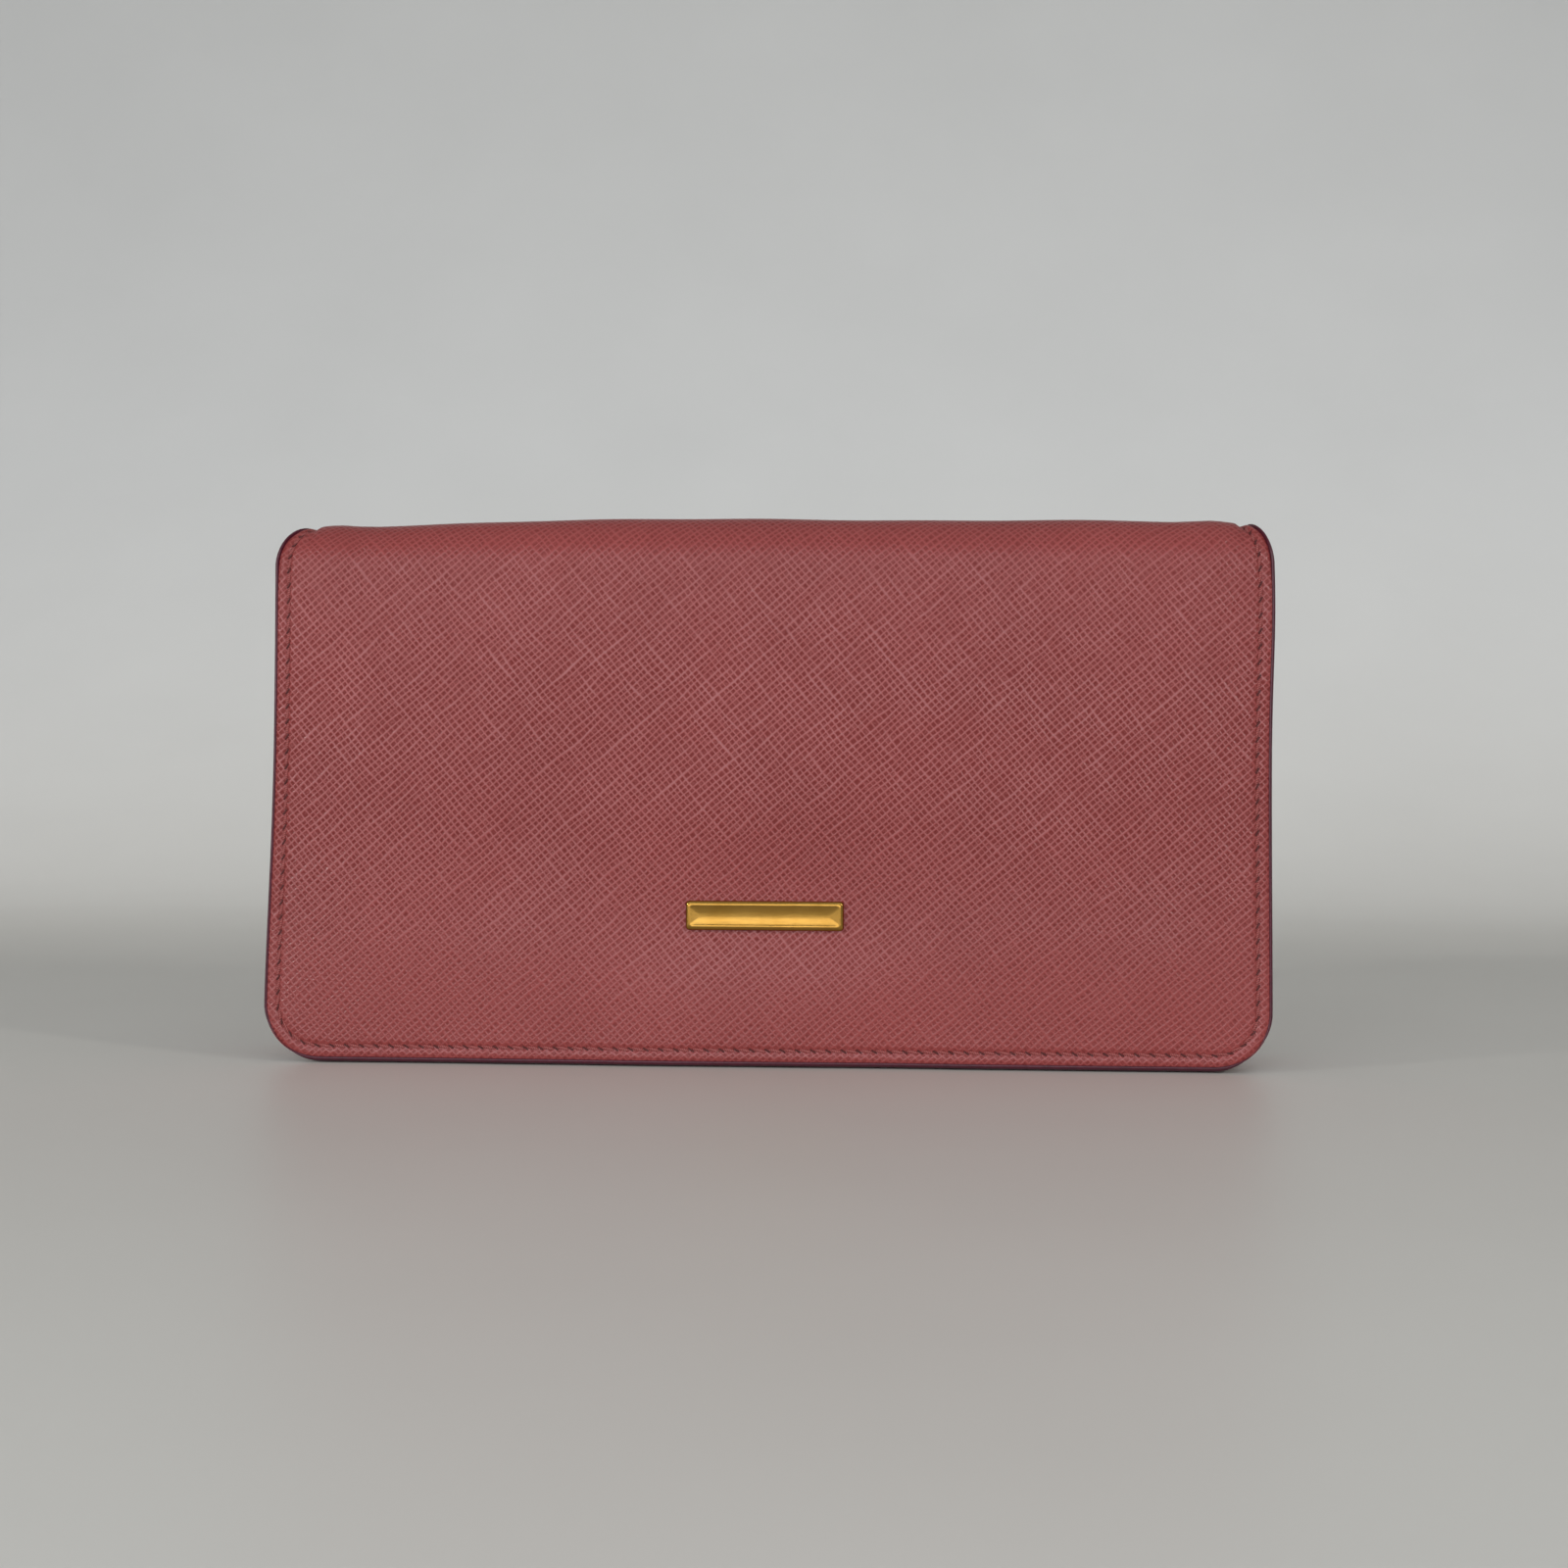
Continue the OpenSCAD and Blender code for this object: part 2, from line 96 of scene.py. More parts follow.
SWELL_X = 84 * MM                # low swelling of the roll near each end
NOTCH_X = (88.3 * MM, 89.7 * MM)  # left and right notch between the roll and its sewn border
EDGE_STEP = 1.2 * MM             # spacing of the painted edge's rings
GUSSET_STEP = 1.5 * MM           # spacing of the gusset's rows
GUSSET_T = 0.8 * MM              # gusset leather
GUSSET_FOLD = 3.0 * MM           # how far the gusset's folds swell out

# ---------------------------------------------------------------- materials


def colour(code):
    """sRGB hex code to linear RGBA: c/12.92 below 0.04045, else ((c + 0.055)/1.055)^2.4."""
    parts = [int(code[i:i + 2], 16) / 255 for i in (1, 3, 5)]
    linear = [c / 12.92 if c <= 0.04045 else ((c + 0.055) / 1.055) ** 2.4 for c in parts]
    return (*linear, 1.0)


def add(tree, kind, inputs=None, **settings):
    """Add a node, set its attributes, and set or link each named or numbered input."""
    made = tree.nodes.new("ShaderNode" + kind)
    for name, value in settings.items():
        setattr(made, name, value)
    for key, value in (inputs or {}).items():
        if isinstance(value, bpy.types.NodeSocket):
            tree.links.new(value, made.inputs[key])
        else:
            made.inputs[key].default_value = value
    return made


def new_material(name):
    """A material with an empty tree but for its shader and output."""
    material = bpy.data.materials.new(name)
    material.use_nodes = True
    tree = material.node_tree
    tree.nodes.clear()
    shader = add(tree, "BsdfPrincipled")
    add(tree, "OutputMaterial", {"Surface": shader.outputs[0]})
    return material, tree, shader


def calc(tree, operation, a, b=0.0):
    """One arithmetic step."""
    return add(tree, "Math", {0: a, 1: b}, operation=operation).outputs[0]


def blend_colours(tree, factor, first, second):
    """Colour between two, by factor."""
    mixed = add(tree, "Mix", {0: factor, 6: first, 7: second}, data_type="RGBA")
    return mixed.outputs[2]


def cross_grain(name, ridge, pit, pitch, depth, rough):
    """Cross-grain leather: two families of pressed ridges, coated with polyurethane.

    Each family is a sine across its own direction. Noise that is long along the ridges and short
    across them changes their spacing, and a second noise changes their height, so that ridges
    merge and break off. Where neither family stands up there is a small dark pit. The ridge tops
    are pressed flat by a smooth minimum. Over the head the heights are drawn towards a middle
    level, so the pits are shallower there and the roll is a little darker: painted shade of the top,
    which faces away from the front light. Towards the bottom of the panel they are drawn up past the
    ridges, so the pits are shallower and the colour lighter: painted light from the floor below.
    The coating is satin, smoother, lighter and shinier on the ridge tops.
    """
    families = ((130.5, 1.9, 0.87, 0.84, 3.0), (39.5, 2.0, 0.7, 0.74, 17.0))
    # The first level draws the top of the roll a little darker, as painted shade. The second draws the
    # bottom of the panel lighter, as painted light from the floor. Both also make the pits shallower.
    head_shade_level, foot_light_level, top_level, top_blend = 0.5, 1.15, 0.8, 0.25
    material, tree, shader = new_material(name)
    where = add(tree, "UVMap", uv_map="sheet").outputs[0]
    ridges = []
    for degrees, sharp, low, fade, seed in families:
        turned = add(tree, "Mapping", {"Vector": where, "Rotation": (0, 0, -math.radians(degrees))})
        stretched = add(tree, "Mapping", {
            "Vector": turned.outputs[0], "Location": (seed, seed, 0),
            "Scale": (1 / (2.4 * pitch), 1 / (11 * pitch), 1)})
        spacing = add(tree, "TexNoise", {"Vector": stretched.outputs[0], "Scale": 1.0, "Detail": 1.0})
        shift = calc(tree, "MULTIPLY", calc(tree, "SUBTRACT", spacing.outputs[0], 0.5), 1.25 * pitch)
        across = add(tree, "SeparateXYZ", {0: turned.outputs[0]}).outputs[0]
        wave = calc(tree, "SINE", calc(tree, "MULTIPLY", calc(tree, "ADD", across, shift),
                                       2 * math.pi / pitch))
        raised = calc(tree, "MULTIPLY_ADD", wave, 0.5)
        raised.node.inputs[2].default_value = 0.5
        moved = add(tree, "Mapping", {"Vector": where, "Location": (seed * MM, 0, 0)})
        patch = add(tree, "TexNoise", {"Vector": moved.outputs[0], "Scale": 1 / (12 * MM),
                                       "Detail": 5.0, "Roughness": 0.75})
        strength = add(tree, "MapRange", {0: patch.outputs[0], 1: 0.36, 2: 0.62, 3: low, 4: 1.0})
        streak = add(tree, "MapRange", {0: spacing.outputs[0], 1: 0.33, 2: 0.67, 3: fade, 4: 1.03})
        height = calc(tree, "MULTIPLY", calc(tree, "POWER", raised, sharp), strength.outputs[0])
        ridges.append(calc(tree, "MULTIPLY", height, streak.outputs[0]))
    tall = calc(tree, "MAXIMUM", ridges[0], ridges[1])
    both = calc(tree, "ADD", ridges[0], ridges[1])
    crumb = add(tree, "TexNoise", {"Vector": where, "Scale": 1 / (0.9 * MM), "Detail": 2.0,
                                   "Roughness": 0.6})
    filled = add(tree, "MapRange", {0: crumb.outputs[0], 1: 0.35, 2: 0.68, 3: 0.0, 4: 0.45})
    ridged = calc(tree, "ADD", calc(tree, "MULTIPLY", tall, 0.7), calc(tree, "MULTIPLY", both, 0.25))
    height = calc(tree, "MAXIMUM", ridged, filled.outputs[0])
    run = calc(tree, "ABSOLUTE", add(tree, "SeparateXYZ", {0: where}).outputs[1])
    # Masks over the head and near the bottom of the panel, where the heights are drawn to those levels:
    # painted shade on the roll's top, painted light near the bottom.
    head = add(tree, "MapRange", {0: run, 1: 14 * MM, 2: 44 * MM, 3: 0.4, 4: 0.0})
    foot_light = add(tree, "MapRange", {0: run, 1: 70 * MM, 2: 100 * MM, 3: 0.0, 4: 0.2})
    for flattened_painted_zone, flattened_painted_level in ((head, head_shade_level), (foot_light, foot_light_level)):
        short = calc(tree, "SUBTRACT", flattened_painted_level, height)
        height = calc(tree, "ADD", height, calc(tree, "MULTIPLY", short, flattened_painted_zone.outputs[0]))
    broad = add(tree, "TexNoise", {"Vector": where, "Scale": 1 / (34 * MM), "Detail": 3.0,
                                   "Roughness": 0.55})
    tone = add(tree, "MapRange", {0: broad.outputs[0], 1: 0.3, 2: 0.7, 3: 0.0, 4: 1.0})
    light = blend_colours(tree, tone.outputs[0], colour(ridge[0]), colour(ridge[1]))
    dark = blend_colours(tree, tone.outputs[0], colour(pit[0]), colour(pit[1]))
    level = add(tree, "MapRange", {0: height, 1: 0.16, 2: 0.7, 3: 0.0, 4: 1.0})
    tint = blend_colours(tree, level.outputs[0], dark, light)
    gloss = add(tree, "MapRange", {0: height, 1: 0.1, 2: 0.9, 3: rough[0], 4: rough[1]})
    pressed = calc(tree, "SMOOTH_MIN", height, top_level)
    pressed.node.inputs[2].default_value = top_blend
    bump = add(tree, "Bump", {"Strength": 1.0, "Distance": depth, "Height": pressed})
    tree.links.new(tint, shader.inputs["Base Color"])
    tree.links.new(gloss.outputs[0], shader.inputs["Roughness"])
    polish = add(tree, "MapRange", {0: height, 1: 0.16, 2: 0.7, 3: 0.15, 4: 0.58})
    tree.links.new(polish.outputs[0], shader.inputs["Specular IOR Level"])
    tree.links.new(calc(tree, "MULTIPLY", level.outputs[0], 0.18), shader.inputs["Coat Weight"])
    shader.inputs["Coat Roughness"].default_value = 0.17
    tree.links.new(bump.outputs[0], shader.inputs["Normal"])
    tree.links.new(bump.outputs[0], shader.inputs["Coat Normal"])
    return material


def fine_grain(name, light, dark, size, depth, rough):
    """Smooth-rolled leather or paint: small irregular cells of the given size, and soft stains."""
    material, tree, shader = new_material(name)
    where = add(tree, "TexCoord").outputs["Object"]
    cells = add(tree, "TexVoronoi", {"Vector": where, "Scale": 1 / size}, feature="F1")
    broad = add(tree, "TexNoise", {"Vector": where, "Scale": 1 / (25 * MM), "Detail": 4.0})
    mixed = calc(tree, "MULTIPLY", calc(tree, "ADD", cells.outputs[0], broad.outputs[0]), 0.6)
    bump = add(tree, "Bump", {"Strength": 1.0, "Distance": depth, "Height": cells.outputs[0]})
    bump.invert = True
    gloss = add(tree, "MapRange", {0: broad.outputs[0], 1: 0.3, 2: 0.7, 3: rough[0], 4: rough[1]})
    tint = blend_colours(tree, mixed, colour(light), colour(dark))
    tree.links.new(tint, shader.inputs["Base Color"])
    tree.links.new(gloss.outputs[0], shader.inputs["Roughness"])
    tree.links.new(bump.outputs[0], shader.inputs["Normal"])
    return material


def polished_metal(name, light, dark, rough):
    """Gold-plated zinc, tumble polished: fine scratches and a faint handling haze."""
    material, tree, shader = new_material(name)
    where = add(tree, "TexCoord").outputs["Object"]
    stretched = add(tree, "Mapping", {"Vector": where, "Scale": (300.0, 2500.0, 4200.0)})
    scratch = add(tree, "TexNoise", {"Vector": stretched.outputs[0], "Scale": 1.0, "Detail": 3.0})
    haze = add(tree, "TexNoise", {"Vector": where, "Scale": 1 / (4 * MM), "Detail": 3.0})
    gloss = add(tree, "MapRange", {0: scratch.outputs[0], 1: 0.3, 2: 0.7, 3: rough[0], 4: rough[1]})
    bump = add(tree, "Bump", {"Strength": 0.25, "Distance": 0.01 * MM, "Height": scratch.outputs[0]})
    tint = blend_colours(tree, haze.outputs[0], colour(light), colour(dark))
    shader.inputs["Metallic"].default_value = 1.0
    tree.links.new(tint, shader.inputs["Base Color"])
    tree.links.new(gloss.outputs[0], shader.inputs["Roughness"])
    tree.links.new(bump.outputs[0], shader.inputs["Normal"])
    return material


def woven(name, light, dark, pitch):
    """Woven polyester: warp ribs and weft ribs, each a sine of the given spacing, one over the other."""
    material, tree, shader = new_material(name)
    split = add(tree, "SeparateXYZ", {0: add(tree, "TexCoord").outputs["Object"]})
    rib = [calc(tree, "SINE", calc(tree, "MULTIPLY", split.outputs[i], 2 * math.pi / pitch))
           for i in (0, 1)]
    height = calc(tree, "MULTIPLY", rib[0], rib[1])
    level = add(tree, "MapRange", {0: height, 1: -1.0, 2: 1.0, 3: 0.0, 4: 1.0})
    bump = add(tree, "Bump", {"Strength": 0.8, "Distance": 0.08 * MM, "Height": height})
    tint = blend_colours(tree, level.outputs[0], colour(dark), colour(light))
    shader.inputs["Roughness"].default_value = 0.8
    shader.inputs["Sheen Weight"].default_value = 0.2
    tree.links.new(tint, shader.inputs["Base Color"])
    tree.links.new(bump.outputs[0], shader.inputs["Normal"])
    return material


def twisted_thread(name, light, dark):
    """Waxed sewing thread: plies that wind round, drawn by a sine on the thread's own UV map."""
    material, tree, shader = new_material(name)
    split = add(tree, "SeparateXYZ", {0: add(tree, "UVMap", uv_map="sheet").outputs[0]})
    lean = calc(tree, "ADD", split.outputs[0], split.outputs[1])
    ply = calc(tree, "SINE", calc(tree, "MULTIPLY", lean, 2 * math.pi / (0.45 * MM)))
    level = add(tree, "MapRange", {0: ply, 1: -1.0, 2: 1.0, 3: 0.0, 4: 1.0})
    bump = add(tree, "Bump", {"Strength": 0.7, "Distance": 0.05 * MM, "Height": ply})
    tint = blend_colours(tree, level.outputs[0], colour(dark), colour(light))
    shader.inputs["Roughness"].default_value = 0.5
    tree.links.new(tint, shader.inputs["Base Color"])
    tree.links.new(bump.outputs[0], shader.inputs["Normal"])
    return material


ROSE = cross_grain("rose_cross_grain_leather", ("#9D4240", "#963E3C"), ("#7E3432", "#77302E"),
                   pitch=1.05 * MM, depth=0.16 * MM, rough=(0.58, 0.3))
GUSSET_ROSE = fine_grain("rose_gusset_leather", "#A85C60", "#8E474C", 0.7 * MM, 0.05 * MM, (0.5, 0.62))
LINING = fine_grain("rose_lining_leather", "#A9595F", "#8F454C", 0.55 * MM, 0.04 * MM, (0.55, 0.7))
EDGE_PAINT = fine_grain("burgundy_edge_paint", "#5E182E", "#400C1E", 0.9 * MM, 0.02 * MM, (0.25, 0.4))
# Needle holes: dark marks of painted shade, standing for the shadow in each hole.
HOLE_SHADE = fine_grain("needle_hole_painted_shade", "#662A29", "#4C1D1C", 0.3 * MM, 0.02 * MM, (0.7, 0.8))
THREAD = twisted_thread("rose_waxed_thread", "#AC5653", "#803A37")
GOLD = polished_metal("polished_gold_plate", "#AE8844", "#98702E", (0.12, 0.24))
TAPE = woven("rose_zip_tape", "#9C4F58", "#6E2F38", 0.5 * MM)

# ---------------------------------------------------------------- sheets


def smooth(value, low, high):
    """Smoothstep from 0 at low to 1 at high."""
    ratio = np.clip((value - low) / (high - low), 0, 1)
    return ratio * ratio * (3 - 2 * ratio)


def ripple(x, s, seed):
    """Sum of four slow sines in x and s: the unevenness of handled leather, about -1 to 1."""
    random = np.random.default_rng(seed)
    total = 0
    for size in (90, 60, 38, 27):
        angle, phase = random.uniform(0, 2 * np.pi, 2)
        way = (x * np.cos(angle) + s * np.sin(angle)) * 2 * np.pi / (size * MM)
        total = total + np.sin(way + phase) * size / 130
    return total


class Roll:
    """The outer leather from the middle of the spine, over one fold, down to a free edge.

    Along s: flat spine, a quarter circle of the fold's radius, then a flat panel. The face is
    pushed out by a crown that is highest in the middle of the roll and fades down the panel, by a
    seam groove, and by a slow ripple. Depth t goes in from the face.
    """

    def __init__(self, front, bottom, flare, shoulder, seed):
        self.front = front
        self.radius = FRONT_R if front else REAR_R
        self.face = FACE_Y if front else BACK_Y
        self.out = -1 if front else 1
        self.flat = abs(self.face - self.out * self.radius - MID_Y)
        self.fold_end = self.flat + self.radius * math.pi / 2
        self.end = self.fold_end + TOP_Z - self.radius - bottom
        self.flare = flare
        self.shoulder = shoulder
        self.seed = seed
        self.corner = CORNER_R
        self.head = np.array([0, 0.01, 0.03, 0.5]) * MM
        self.grain = self.out

    def edge(self, s, side):
        """x of the leather's edge: drawn in along the spine, and flared a little at the bottom."""
        which = 0 if side < 0 else 1
        turn = np.clip((s - self.flat) / self.radius, 0, math.pi / 2)
        level = 1 - np.clip(self.radius * (1 - np.cos(turn)) / TUCK_DROP, 0, 1)
        tuck = TOP_TUCK[which] * (1 - np.sqrt(1 - level ** 2))
        spread = self.flare[which] * smooth(s, self.fold_end, self.end) ** 2
        wide = self.shoulder[which] * np.exp(-((s - self.fold_end - 9 * MM) / (16 * MM)) ** 2)
        return HALF_W - 0.45 * MM - tuck + spread + wide

    def pressed(self, x, s):
        """1 where the plate's posts hold the leather down, falling to 0 round them."""
        if not self.front:
            return 0 * x * s
        plate_s = self.end + FLAP_LOW[2] - (PLATE_LOW[2] + PLATE_HIGH[2]) / 2
        return np.exp(-(x / (34 * MM)) ** 4 - ((s - plate_s) / (16 * MM)) ** 2)

    def groove(self, x, s):
        """Depth pressed in along the seam, a bell curve across it, with the border rolled down."""
        gap = border(self, x, s)
        bell = np.exp(-((gap - SEAM_INSET) / SEAM_W) ** 2)
        top = 1 - smooth(s, self.fold_end - 2 * MM, self.fold_end + 6 * MM)
        rim = 1 - smooth(gap, 0, (1.5 + 0.7 * top) * MM)
        return (0.34 + 0.2 * top) * MM * bell + (0.3 + 0.4 * top) * MM * rim ** 2

    def place(self, x, s, t, sunk=True):
        """Point at x, s and depth t under the face."""
        turn = np.clip((s - self.flat) / self.radius, 0, math.pi / 2)
        before = np.minimum(s, self.flat)
        after = np.maximum(s - self.fold_end, 0)
        normal_y, normal_z = np.sin(turn), np.cos(turn)
        across = np.clip(np.abs(x) / HALF_W, 0, 1)
        roll = 1 - smooth(s, self.fold_end - 6 * MM, self.fold_end + 30 * MM)
        swell = 0.45 * MM * np.exp(-((np.abs(x) - SWELL_X) / (4 * MM)) ** 2)
        notch = 0.5 * MM * np.exp(-((np.abs(x) - np.where(x < 0, *NOTCH_X)) / (0.8 * MM)) ** 2)
        sewn = 1 - smooth(s, self.fold_end - 7 * MM, self.fold_end - 1 * MM)
        crown = roll * (CROWN * (1 - across ** 1.7) + swell - SINK) - sewn * notch
        press = 1 - self.pressed(x, s)
        uneven = 0.3 * MM * ripple(x, s, self.seed) * smooth(s, 0, 8 * MM) * (1 - across ** 6)
        puff = 1.1 * MM * smooth(s, self.fold_end - 2 * MM, self.fold_end + 30 * MM) * smooth(
            self.end - s, 0, 25 * MM) * (1 - across ** 9)
        pinch = 1 - 2 * np.clip(t / SHELL_T, 0, 1) if sunk else 0
        lift = self.radius + crown + (uneven + puff) * press - t - self.groove(x, s) * pinch
        centre_y = self.face - self.out * self.radius
        y = centre_y - self.out * (self.flat - before) + self.out * normal_y * lift
        z = TOP_Z - self.radius - after + normal_z * lift
        return np.stack(np.broadcast_arrays(x, y, z), axis=-1)


class Flat:
    """A flat panel that hangs down from its mouth at y, facing the front (out -1) or rear (1).

    The mouth dips in the middle by a parabola, its edge is rounded, and a hem stands proud under it.
    The face is crowned by puff, and a seam is pressed in along the edge.
    """

    def __init__(self, half, top, bottom, y, corner, thick, puff=0.0, groove=0.25 * MM, dip=0.0,
                 hem=0.0, out=-1):
        self.half, self.top, self.y, self.corner = half, top, y, corner
        self.end = top - bottom
        self.thick, self.puff, self.depth = thick, puff, groove
        self.dip, self.hem, self.out = dip, hem, out
        self.head = np.array([0, 0.04, 0.12, 0.25, 0.5, 0.8]) * thick
        self.grain = -1

    def edge(self, s, side):
        """x of the panel's side, which is straight."""
        return self.half + 0 * s

    def place(self, x, s, t, sunk=True):
        """Point at x, s and depth t under the face."""
        gap = border(self, x, s)
        pinched = 1 - 2 * np.clip(t / self.thick, 0, 1) if sunk else 0
        sink = self.depth * np.exp(-((gap - SEAM_INSET) / SEAM_W) ** 2) * pinched
        rise = self.puff * smooth(gap, 0, 25 * MM)
        rise = rise + self.hem * (1 - smooth(s, 3.6 * MM, 4.4 * MM)) * (t < self.thick / 2)
        part = np.clip(s / (self.thick / 2), 0.02, 1)
        pinch = np.sqrt(1 - (1 - part) ** 2)
        depth = self.thick / 2 + (t - self.thick / 2) * pinch
        across = np.clip(np.abs(x) / self.half, 0, 1)
        lower = self.dip * (1 - across ** 2) * (1 - smooth(s, 0, self.end))
        y = self.y - self.out * (depth + sink - rise)
        return np.stack(np.broadcast_arrays(x, y, self.top - s - lower), axis=-1)


def border(sheet, x, s):
    """Distance from the sheet's edge: to its side, its bottom, or the arc of a bottom corner."""
    side = np.where(x < 0, -1, 1)
    edge = np.where(x < 0, sheet.edge(s, -1), sheet.edge(s, 1))
    level = np.where(x < 0, sheet.edge(sheet.end - sheet.corner + 0 * s, -1),
                     sheet.edge(sheet.end - sheet.corner + 0 * s, 1))
    in_x = side * x - (level - sheet.corner)
    in_s = s - (sheet.end - sheet.corner)
    plain = np.minimum(edge - side * x, sheet.end - s)
    round_gap = sheet.corner - np.hypot(np.maximum(in_x, 0), np.maximum(in_s, 0))
    return np.where((in_x > 0) & (in_s > 0), round_gap, plain)


# ---------------------------------------------------------------- meshes


def finish_mesh(name, points, faces, uv, material, body=None):
    """Make an object of points and quads with a UV map in metres called sheet."""
    mesh = bpy.data.meshes.new(name)
    mesh.from_pydata(points.reshape(-1, 3), [], faces.reshape(-1, 4))
    layer = mesh.uv_layers.new(name="sheet")
    corner = np.empty(len(mesh.loops), dtype=np.int32)
    mesh.loops.foreach_get("vertex_index", corner)
    layer.data.foreach_set("uv", uv.reshape(-1, 2)[corner].ravel())
    mesh.materials.append(material)
    mesh.shade_smooth()
    piece = bpy.data.objects.new(name, mesh)
    bpy.context.scene.collection.objects.link(piece)
    if body:
        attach(piece, body)
    return piece


def grid_faces(rows, columns, wrap=False, loop=False):
    """Quads between neighbours of a grid of rows by columns.

    The columns close on themselves if wrap, and the rows if loop.
    """
    index = np.arange(rows * columns).reshape(rows, columns)
    if loop:
        index = np.concatenate([index, index[:1]])
    if wrap:
        index = np.concatenate([index, index[:, :1]], axis=1)
    quads = np.stack([index[:-1, :-1], index[1:, :-1], index[1:, 1:], index[:-1, 1:]], axis=-1)
    return quads.reshape(-1, 4)


def end_caps(rows, ring):
    """Strips of quads that close the first and last ring of a tube, from one side to the other."""
    step = np.arange(ring // 2 - 1)
    quad = np.stack([step, step + 1, ring - 2 - step, ring - 1 - step], axis=-1)
    return np.concatenate([quad, quad[:, ::-1] + (rows - 1) * ring])


def tube_faces(rows, ring):
    """Quads of a tube of rings, with both ends closed."""
    return np.concatenate([grid_faces(rows, ring, wrap=True), end_caps(rows, ring)])


def folded_faces(rows, columns):
    """Quads of a closed sheet: each ring is a row of one side and the other side's row back."""
    index = np.arange(2 * columns)
    front, rear = index[:columns], index[columns:][::-1]
    strip = np.stack([front[:-1], front[1:], rear[1:], rear[:-1]], axis=-1)
    last = strip[:, ::-1] + (rows - 1) * 2 * columns
    return np.concatenate([grid_faces(rows, 2 * columns, wrap=True), strip, last])


def slab(name, sheet, t0, t1, material, body=None, inset=0.0):
    """Closed slab of a sheet between depths t0 and t1.

    Columns are close together near the sides and rows near the bottom, so that the seam and the
    round corners keep their shape. A ring of points runs over the face, round the bottom edge and
    back up the inner side, and the two ends of each row are closed by thin strips.
    """
    edge_steps = np.concatenate([np.linspace(0, 5, 21), [6.0, 8.0, 11.0, 15.0]]) * MM
    middle = np.linspace(-1, 1, 81)[1:-1]
    corner = sheet.corner
    plain = np.arange(sheet.head[-1] + 0.5 * MM, sheet.end - corner, 1.5 * MM)
    arc = sheet.end - corner + (corner - inset) * np.sin(np.linspace(0, math.pi / 2, 34))
    rows = np.concatenate([sheet.head, plain, arc])
    halves = []
    for side in (-1, 1):
        half = sheet.edge(rows, side) - inset
        drop = np.clip(rows - (sheet.end - corner), 0, corner - inset)
        half = half - (corner - inset) + np.sqrt(np.maximum((corner - inset) ** 2 - drop ** 2, 0))
        halves.append(half)
    left = -halves[0][:, None] + edge_steps[None, :]
    right = halves[1][:, None] - edge_steps[None, ::-1]
    low, high = left[:, -1:], right[:, :1]
    centre = (low + high) / 2 + (high - low) / 2 * middle[None, :]
    x = np.concatenate([left, centre, right], axis=1)
    s = np.broadcast_to(rows[:, None], x.shape)
    face = sheet.place(x, s, t0)
    inner = sheet.place(x, s, t1)
    ring = np.concatenate([face, inner[:, ::-1]], axis=1)
    uv = np.stack([x, sheet.grain * s], axis=-1)
    uv = np.concatenate([uv, uv[:, ::-1]], axis=1)
    return finish_mesh(name, ring, folded_faces(*x.shape), uv, material, body)


def outline(sheet, inset, step, start=0.0, closed=False):
    """Points, a step apart, of the line that runs inset from the sheet's edge.

    It goes down the left, along the bottom, up the right and, if closed, back along the mouth. Gives
    x, s and the direction straight out of the sheet at each point.
    """
    radius = sheet.corner - inset
    level = sheet.end - sheet.corner
    fine = 400
    down = np.linspace(start, level, fine)
    turn = np.linspace(0, math.pi / 2, 60)
    left = -(sheet.edge(down, -1) - inset)
    right = sheet.edge(down, 1) - inset
    x_left = left[-1] + radius
    x_right = right[-1] - radius
    along = np.linspace(x_left, x_right, fine)
    parts = [(left, down),
             (x_left - radius * np.cos(turn), level + radius * np.sin(turn)),
             (along, 0 * along + level + radius),
             (x_right + radius * np.sin(turn), level + radius * np.cos(turn)),
             (right[::-1], down[::-1])]
    if closed:
        parts.append((np.linspace(right[0], left[0], fine), np.full(fine, start)))
    parts = [np.stack(part, axis=-1) for part in parts]
    line = np.concatenate(parts[:1] + [part[1:] for part in parts[1:]])
    gone = np.concatenate([[0], np.cumsum(np.hypot(*np.diff(line, axis=0).T))])
    count = int(round(gone[-1] / step))
    wanted = np.linspace(0, gone[-1], count + 1)
    x = np.interp(wanted, gone, line[:, 0])
    s = np.interp(wanted, gone, line[:, 1])
    if closed:
        x, s = x[:-1], s[:-1]
        run_x = np.roll(x, -1) - np.roll(x, 1)
        run_s = np.roll(s, -1) - np.roll(s, 1)
    else:
        run_x, run_s = np.gradient(x), np.gradient(s)
    length = np.hypot(run_x, run_s)
    return x, s, -run_s / length, run_x / length


